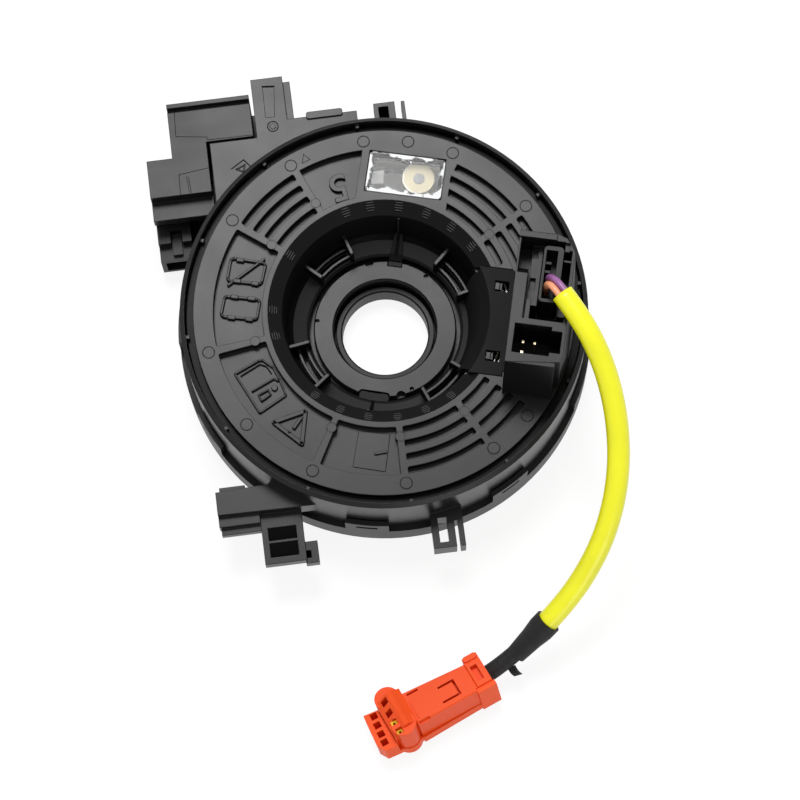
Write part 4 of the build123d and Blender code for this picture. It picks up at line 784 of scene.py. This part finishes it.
# %% Knurled pads
BAND_ANGLES = (45, 60, 75, 90, 105, 118, 155.8, 187.3, 201.5, 240, 255, 270, 285, 300, 315)
BAND_RADIUS = 29.85
BAND_FOOT_RADIUS = 27.6
BAND_FOOT_Z = 26.6
BAND_SLOPE = 2.4 / 3.7
KNURL_STEPS = (-0.9, -0.3, 0.3, 0.9)
KNURL_WIDTH = 0.3
KNURL_LIFT = 0.17
KNURL_ROOT = 0.5
KNURL_EDGE = 0.04
PAD_RADIUS = 1.35
PAD_FILL = 0.8
knurls = bmesh.new()
for angle in BAND_ANGLES:
    for step in KNURL_STEPS:
        radius = BAND_RADIUS + step
        level = BAND_FOOT_Z + (radius - BAND_FOOT_RADIUS) * BAND_SLOPE
        half = math.degrees((PAD_RADIUS**2 - step**2) ** 0.5 / radius) * PAD_FILL
        ends = [on_rotor(radius, angle - half), on_rotor(radius, angle + half)]
        bar(knurls, *ends, KNURL_WIDTH, level - KNURL_ROOT, level + KNURL_LIFT, KNURL_EDGE)
as_piece("band_knurls", knurls, finishes["rotor"], "rotor")

# %% [markdown]
# ## Pictograms in the pockets
# The pockets carry plain signs: a plug that is open and one that is shut, an open book with
# the letter i, and a warning triangle.  Each is a run of strokes through a few corner points.
# The strokes are ridges whose bevelled edges catch the light, as on the engraved mould.

# %% Corner points of the pictograms
CONNECTOR_OPEN = [(-39.4, 20.0), (-38.6, 20.3), (-30.6, 17.9), (-30.2, 17.2), (-31.8, 12.5), (-32.5, 12.1),
                  (-40.4, 14.0), (-40.9, 14.7)]
CONNECTOR_SHUT = [(-42.3, 9.4), (-41.7, 9.8), (-33.4, 7.8), (-32.9, 7.1), (-34.2, 2.6), (-34.8, 2.3),
                  (-43.2, 4.2), (-43.7, 4.9)]
CONNECTOR_STUDS = [(-37.3, 19.6), (-38.8, 13.8), (-34.1, 12.4), (-40.0, 9.4), (-35.5, 8.3), (-41.5, 3.7),
                   (-36.8, 2.6)]
BOOK = [(-41.8, -12.2), (-36.4, -23.8), (-28.9, -19.8), (-29.5, -17.4), (-30.1, -15.2), (-31.4, -11.7),
        (-34.1, -9.2), (-35.2, -9.3)]
BOOK_FOLD = [(-37.8, -17.6), (-31.6, -14.8), (-30.5, -15.6)]
BOOK_PAGE = [(-40.3, -12.9), (-34.8, -10.3), (-33.2, -11.1), (-32.1, -13.2)]
LETTER_FOOT = [(-36.2, -18.8), (-35.6, -20.6), (-32.9, -19.1), (-33.4, -17.7)]
TRIANGLE = [(-33.0, -26.9), (-24.2, -24.9), (-26.2, -33.8)]
FACE_TRIANGLE = [(-16.3, 46.9), (-16.9, 44.4), (-14.7, 45.2)]
print("corner points:", sum(map(len, (CONNECTOR_OPEN, CONNECTOR_SHUT, BOOK, TRIANGLE))))

# %% Draw the pictograms
RELIEF = 0.95
RIDGE = 0.72
low, high = POCKET_Z - SINK, POCKET_Z + RELIEF
relief = bmesh.new()
outline(relief, CONNECTOR_OPEN, RIDGE, low, high)
bar(relief, (-30.5, 18.9), (-40.8, 12.9), RIDGE, low, high + 0.01)
outline(relief, CONNECTOR_SHUT, RIDGE, low, high)
for spot in CONNECTOR_STUDS:
    bar(relief, spot, (spot[0] + 0.9, spot[1] - 0.24), 1.15, low, high + 0.1)
outline(relief, BOOK, 0.6, low, high - 0.1)
outline(relief, BOOK_FOLD, 0.5, low, high - 0.1, closed=False)
outline(relief, BOOK_PAGE, 0.3, low, high - 0.2, closed=False)
outline(relief, LETTER_FOOT, 0.5, low, high - 0.1)
disc(relief, (-31.7, -17.4), 0.95, low, high - 0.1, 0.15)
outline(relief, TRIANGLE, 1.15, low, high)
bar(relief, (-25.9, -26.9), (-27.7, -29.0), 0.95, low, high)
disc(relief, (-29.1, -30.1), 0.5, low, high, 0.12)
outline(relief, FACE_TRIANGLE, 0.12, FACE_Z - SINK, FACE_Z + LIFT)
as_piece("pocket_relief", relief, finishes["rotor"], "rotor")

# %% [markdown]
# ## A bare insert panel
# One pocket holds a smooth panel where the mould takes an insert.  One face, extruded into a
# slab and bevelled all round, is the quickest way to a closed plate of any outline.

# %% Insert panel
PANEL = [(-10.8, -32.0), (-2.5, -34.0), (-5.0, -44.2), (-13.6, -41.7)]
PANEL_THICKNESS = 0.22
panel = bmesh.new()
corners = [panel.verts.new((x * MM, y * MM, (POCKET_Z - SINK) * MM)) for x, y in PANEL]
face = panel.faces.new(corners)
raised = bmesh.ops.extrude_face_region(panel, geom=[face])
lifted = [item for item in raised["geom"] if isinstance(item, bmesh.types.BMVert)]
bmesh.ops.translate(panel, verts=lifted, vec=(0, 0, PANEL_THICKNESS * MM))
bmesh.ops.bevel(
    panel, geom=list(panel.edges), offset=0.1 * MM, segments=2, affect="EDGES", profile=0.5, material=-1
)
as_piece("insert_panel", panel, finishes["rotor"], "rotor")

# %% [markdown]
# ## Numerals
# The cavity's number stands in one pocket and a small one on the panel.  Text with depth and
# a bevel gives the shape; it is made a mesh before it is turned and placed, so that the
# object itself stays at the origin.

# %% Numerals
FONT_RATIO = 1.38
STROKE_GROWTH = 0.015
NUMERAL_EDGE = 0.06


def numeral(name, sign, centre, angle, height, low, high):
    """One raised numeral on the rotor, turned to a heading."""
    text = bpy.data.curves.new(name, "FONT")
    text.body = sign
    text.align_x = "CENTER"
    text.align_y = "CENTER"
    text.size = height * MM * FONT_RATIO
    text.offset = height * STROKE_GROWTH * MM
    text.extrude = (high - low) / 2 * MM
    text.bevel_depth = NUMERAL_EDGE * MM
    text.bevel_resolution = 1
    source = bpy.data.objects.new(name + "_text", text)
    bpy.context.scene.collection.objects.link(source)
    bpy.context.view_layer.update()
    data = bpy.data.meshes.new_from_object(source.evaluated_get(bpy.context.evaluated_depsgraph_get()))
    bpy.data.objects.remove(source)
    mesh = bmesh.new()
    mesh.from_mesh(data)
    spot = Matrix.Translation((centre[0] * MM, centre[1] * MM, (low + high) / 2 * MM))
    turn = Matrix.Rotation(math.radians(angle), 4, "Z")
    bmesh.ops.transform(mesh, matrix=spot @ turn, verts=mesh.verts)
    return as_piece(name, mesh, finishes["rotor"], "rotor")


numeral(
    "numeral_five", "5", centre=(-7.9, 36.9), angle=189.0, height=8.0,
    low=POCKET_Z - SINK, high=POCKET_Z + 1.2,
)
numeral(
    "numeral_one", "1", centre=(-5.9, -38.85), angle=-88.0, height=3.3,
    low=POCKET_Z + 0.1, high=POCKET_Z + 0.7,
)

# %% [markdown]
# ## Marks on the terminal plate and the sockets
# The fixed case carries a small triangle, an arrow, a round stamp and the thin steps where two
# halves of the mould met.  Raised marks take the plastic's finish; grooves are flat dark
# strips that paint the shade in them, since a groove a tenth of a millimetre wide is seen only
# as a dark line.

# %% Marks on the case
fixed = bmesh.new()
# Dark strips in the almost black matt finish paint the shade in the grooves and steps below.
shaded_grooves = bmesh.new()
low = PLATE_Z - SINK
triangle = [(-35.0, 45.7), (-32.6, 46.7), (-33.1, 44.7)]
arrow = [(-36.3, 46.0), (-32.8, 48.2), (-31.0, 45.9)]
tab_frame = [(-25.4, 59.6), (-25.3, 68.7), (-22.1, 68.4), (-22.9, 59.6)]
stamp = (-23.7, 56.85)
outline(fixed, triangle, 0.45, low, PLATE_Z + 0.3)
outline(shaded_grooves, arrow, 0.3, low, PLATE_Z + LIFT, closed=False, edge=0.0)
outline(shaded_grooves, tab_frame, 0.12, low, PLATE_Z + 0.02, edge=0.0)
bar(shaded_grooves, (-25.2, 68.8), (-22.2, 68.5), 0.5, low, PLATE_Z + LIFT, edge=0.0)
ring(shaded_grooves, stamp, 1.45, 0.28, low, PLATE_Z + LIFT)
disc(fixed, stamp, 0.9, low, PLATE_Z + 0.15)

# %% Marks on the sockets
low = SOCKET_Z - SINK
upper_step = [(-50.3, 65.6), (-50.6, 58.1), (-42.1, 56.9), (-42.0, 56.0), (-29.5, 55.9)]
lower_step = [(-51.1, 41.2), (-50.9, 46.9), (-42.6, 47.9)]
for step in (upper_step, lower_step):
    outline(shaded_grooves, step, 0.16, low, SOCKET_Z + 0.025, closed=False, edge=0.0)
bar(shaded_grooves, (-48.9, 46.2), (-48.6, 41.4), 0.14, low, SOCKET_Z + 0.02, edge=0.0)
bar(fixed, (-48.4, 45.9), (-48.1, 41.4), 0.22, low, SOCKET_Z + 0.05, edge=0.03)
as_piece("plate_marks", fixed, finishes["case"], "housing")
as_piece("plate_groove_shade", shaded_grooves, finishes["line"], "housing")

# %% [markdown]
# ## Painted shade on the floors of the clip's recesses
# The clip on the case has two windows, and the floor behind each slopes so that a hook can
# slide in.  That floor lies in shade, so each is one thin tilted plate in the almost black matt
# finish, which paints the shade.

# %% Clip ramps
CLIP_TOP = 17.0
CLIP_MIDDLE = -34.4
RECESSES = ((-56.6, -53.3), (-61.2, -57.5))
RAMP_WIDTH = 7.4
RAMP_FALL = 0.75
RAMP_THICKNESS = 0.3
RAMP_DEPTH = 0.62
RAMP_OVERLAP = 1.02
# Two thin tilted plates in the almost black matt finish paint the shade on the recess floors.
shade_ramps = bmesh.new()
for near, far in RECESSES:
    made = bmesh.ops.create_cube(shade_ramps, size=1.0)
    run = far - near
    squeeze = Matrix.Diagonal((RAMP_WIDTH * MM, run * RAMP_OVERLAP * MM, RAMP_THICKNESS * MM, 1))
    tip = Matrix.Rotation(math.atan2(RAMP_FALL, run), 4, "X")
    spot = Matrix.Translation((CLIP_MIDDLE * MM, (near + far) / 2 * MM, (CLIP_TOP - RAMP_DEPTH) * MM))
    bmesh.ops.transform(shade_ramps, matrix=spot @ tip @ squeeze, verts=made["verts"])
as_piece("clip_ramp_shade", shade_ramps, finishes["line"], "housing")

# %% [markdown]
# ## Painted shade behind the hooks and the sensor's socket
# The gaps behind the hooks and the sensor's socket lie in shade.  Three plain bars in the almost
# black matt finish close them and paint that shade.

# %% Webs
# start, end, width, and the heights of underside and top
WEB_BARS = [
    ((6.6, 59.3), (8.0, 59.3), 3.6, 15.2, 16.2),
    ((-28.6, -61.4), (-27.8, -61.4), 2.2, 12.6, 13.4),
    ((-48.0, 35.6), (-45.4, 35.6), 5.2, 9.4, 10.4),
]
# Three bars in the almost black matt finish paint the shade behind the hooks and the socket.
webs = bmesh.new()
for web in WEB_BARS:
    bar(webs, *web, edge=0.0)
as_piece("painted_shade_webs", webs, finishes["line"], "housing")

# %% [markdown]
# ## The loose end of the tape
# The tape ends in a small flap that curls away from the wires.  Cloth simulation would be
# slow for three millimetres of tape; a grid bent to a parabola and given a thickness has the
# same curl.

# %% Tape flap
FLAP_LENGTH = 3.4
FLAP_WIDTH = 2.6
FLAP_CURL = 140.0
TAPE_THICKNESS = 0.22
flap_spot = plug_point(-6.8) + Vector((0.9, -2.5, -0.8))
flap = bmesh.new()
bmesh.ops.create_grid(flap, x_segments=6, y_segments=4, size=0.5)
bmesh.ops.transform(
    flap, matrix=Matrix.Diagonal((FLAP_LENGTH * MM, FLAP_WIDTH * MM, 1.0, 1)), verts=flap.verts
)
for vert in flap.verts:
    vert.co.z += FLAP_CURL * vert.co.x**2
tilt = Euler((math.radians(32.0), math.radians(24.0), math.radians(118.0))).to_matrix().to_4x4()
bmesh.ops.transform(flap, matrix=Matrix.Translation(flap_spot * MM) @ tilt, verts=flap.verts)
bmesh.ops.solidify(flap, geom=flap.faces[:], thickness=TAPE_THICKNESS * MM)
tape_flap = as_piece("tape_flap", flap, finishes["tape"], "rotor")

# %% [markdown]
# ## The lead as one cord
# Everything from the tower to the plug is one lead.  Where it leaves the tower is printed.

tuple(sleeve_route[0] * MM)
print("the lead leaves the tower at", [round(part, 1) for part in sleeve_route[0]], "mm")

# %% [markdown]
# ## Floor and sky
# The object lies on white, and the floor keeps its shadow.  If the white came from strong
# light, the plastic would turn grey.  So floor and sky are white only for the eye and for
# reflections, through the Light Path node, and weakly grey as sources of light.

# %% White for the eye
WHITE = (1, 1, 1, 1)
EYE_RAYS = ("Is Camera Ray", "Is Glossy Ray", "Is Transmission Ray")
FLOOR_SIZE = 3.0
FLOOR_GAP = 0.2 * MM
FLOOR_PAINT = 0.8
FLOOR_WHITE = 1.03
SHADOW_SHARE = 0.16
WORLD_LEVEL = 0.5


def white_for_eyes(tree, plain, bright):
    """Mix two shaders: the bright one for camera, glossy and transmission rays."""
    camera_ray, glossy_ray, clear_ray = (tree.node("ShaderNodeLightPath", {}, {}, ray) for ray in EYE_RAYS)
    seen = camera_ray.larger(glossy_ray).larger(clear_ray)
    return tree.node("ShaderNodeMixShader", {}, {0: seen, 1: plain, 2: bright})


def make_floor():
    """White sweep below the object, which keeps a soft shadow."""
    data = bpy.data.meshes.new("floor")
    mesh = bmesh.new()
    bmesh.ops.create_grid(mesh, x_segments=1, y_segments=1, size=FLOOR_SIZE)
    mesh.to_mesh(data)
    mesh.free()
    floor = bpy.data.objects.new("floor", data)
    bpy.context.scene.collection.objects.link(floor)
    floor.location.z = cad_box[0][2] - FLOOR_GAP
    material = bpy.data.materials.new("white_floor")
    material.use_nodes = True
    tree = Tree(material.node_tree)
    tree.drop("Principled BSDF")
    paint = tree.node("ShaderNodeBsdfDiffuse", {}, {"Color": rgba((FLOOR_PAINT,) * 3)})
    shadowed = tree.node("ShaderNodeBsdfDiffuse", {}, {"Color": rgba((SHADOW_SHARE,) * 3)})
    glow = tree.node("ShaderNodeEmission", {}, {"Strength": FLOOR_WHITE - SHADOW_SHARE})
    bright = tree.node("ShaderNodeAddShader", {}, {0: shadowed, 1: glow})
    tree.show(white_for_eyes(tree, paint, bright))
    data.materials.append(material)
    return floor


make_floor()
world = bpy.data.worlds.new("studio")
bpy.context.scene.world = world
world.use_nodes = True
sky = Tree(world.node_tree)
sky.drop("Background")
dim = sky.node("ShaderNodeBackground", {}, {"Color": WHITE, "Strength": WORLD_LEVEL})
white = sky.node("ShaderNodeBackground", {}, {"Color": WHITE, "Strength": 1.0})
sky.show(white_for_eyes(sky, dim, white), "World Output")
print("the sky lights at", WORLD_LEVEL, "and looks white")

# %% [markdown]
# ## Lamps
# Black plastic is readable only by what it mirrors.  One broad lamp overhead, a little behind
# the object, lies in the mirror direction of every level face, so those turn grey, while the
# walls mirror the dark pockets and stay black, with painted shade on their steep faces.  A
# weak, low lamp in front fills the near walls.  Each lamp is given by the brightness of its
# face, since that is what is mirrored.

# %% Lamps


def area_lamp(name, place, target, size, radiance):
    """Rectangular lamp whose face has a given radiance."""
    data = bpy.data.lights.new(name, "AREA")
    data.shape = "RECTANGLE"
    data.size, data.size_y = size
    data.energy = radiance * math.pi * size[0] * size[1]
    lamp = bpy.data.objects.new(name, data)
    bpy.context.scene.collection.objects.link(lamp)
    lamp.location = place
    heading = Vector(target) - Vector(place)
    lamp.rotation_euler = heading.to_track_quat("-Z", "Y").to_euler()
    solid_angle = size[0] * size[1] / heading.length_squared
    level = radiance * solid_angle * abs(heading.normalized().z) / math.pi
    print(name, "lights a white floor to", round(level, 2))
    return lamp


centre = (0, 0, 0.02)
area_lamp("overhead", place=(-0.04, 0.5, 1.15), target=centre, size=(0.44, 0.42), radiance=18.5)
area_lamp("front_fill", place=(0.35, -1.25, 0.42), target=centre, size=(0.7, 0.5), radiance=3.0)

# %% [markdown]
# ## Camera
# A long lens from nearly overhead keeps the round parts round and still shows the near walls.
# The camera's turn, its dip and its roll are three plain rotations, put together in that
# order, because angles typed straight into the object are hard to read.

# %% Camera
CAMERA_PLACE = Vector((-14.0, -223.0, 749.2)) * MM
CAMERA_ELEVATION = math.radians(74.63)
CAMERA_TURN = math.radians(-4.4)
CAMERA_ROLL = math.radians(-2.88)
FOCAL_LENGTH = 126.0
SENSOR_WIDTH = 36.0

camera_data = bpy.data.cameras.new("camera")
camera_data.lens = FOCAL_LENGTH
camera_data.sensor_width = SENSOR_WIDTH
camera = bpy.data.objects.new("camera", camera_data)
bpy.context.scene.collection.objects.link(camera)
turn = Matrix.Rotation(CAMERA_TURN, 4, "Z")
tilt = Matrix.Rotation(math.pi / 2 - CAMERA_ELEVATION, 4, "X")
roll = Matrix.Rotation(CAMERA_ROLL, 4, "Z")
camera.matrix_world = Matrix.Translation(CAMERA_PLACE) @ turn @ tilt @ roll
bpy.context.scene.camera = camera
bpy.context.scene.view_settings.view_transform = "Standard"
print("camera at", round(CAMERA_PLACE.length, 3), "m from the origin")

# %% [markdown]
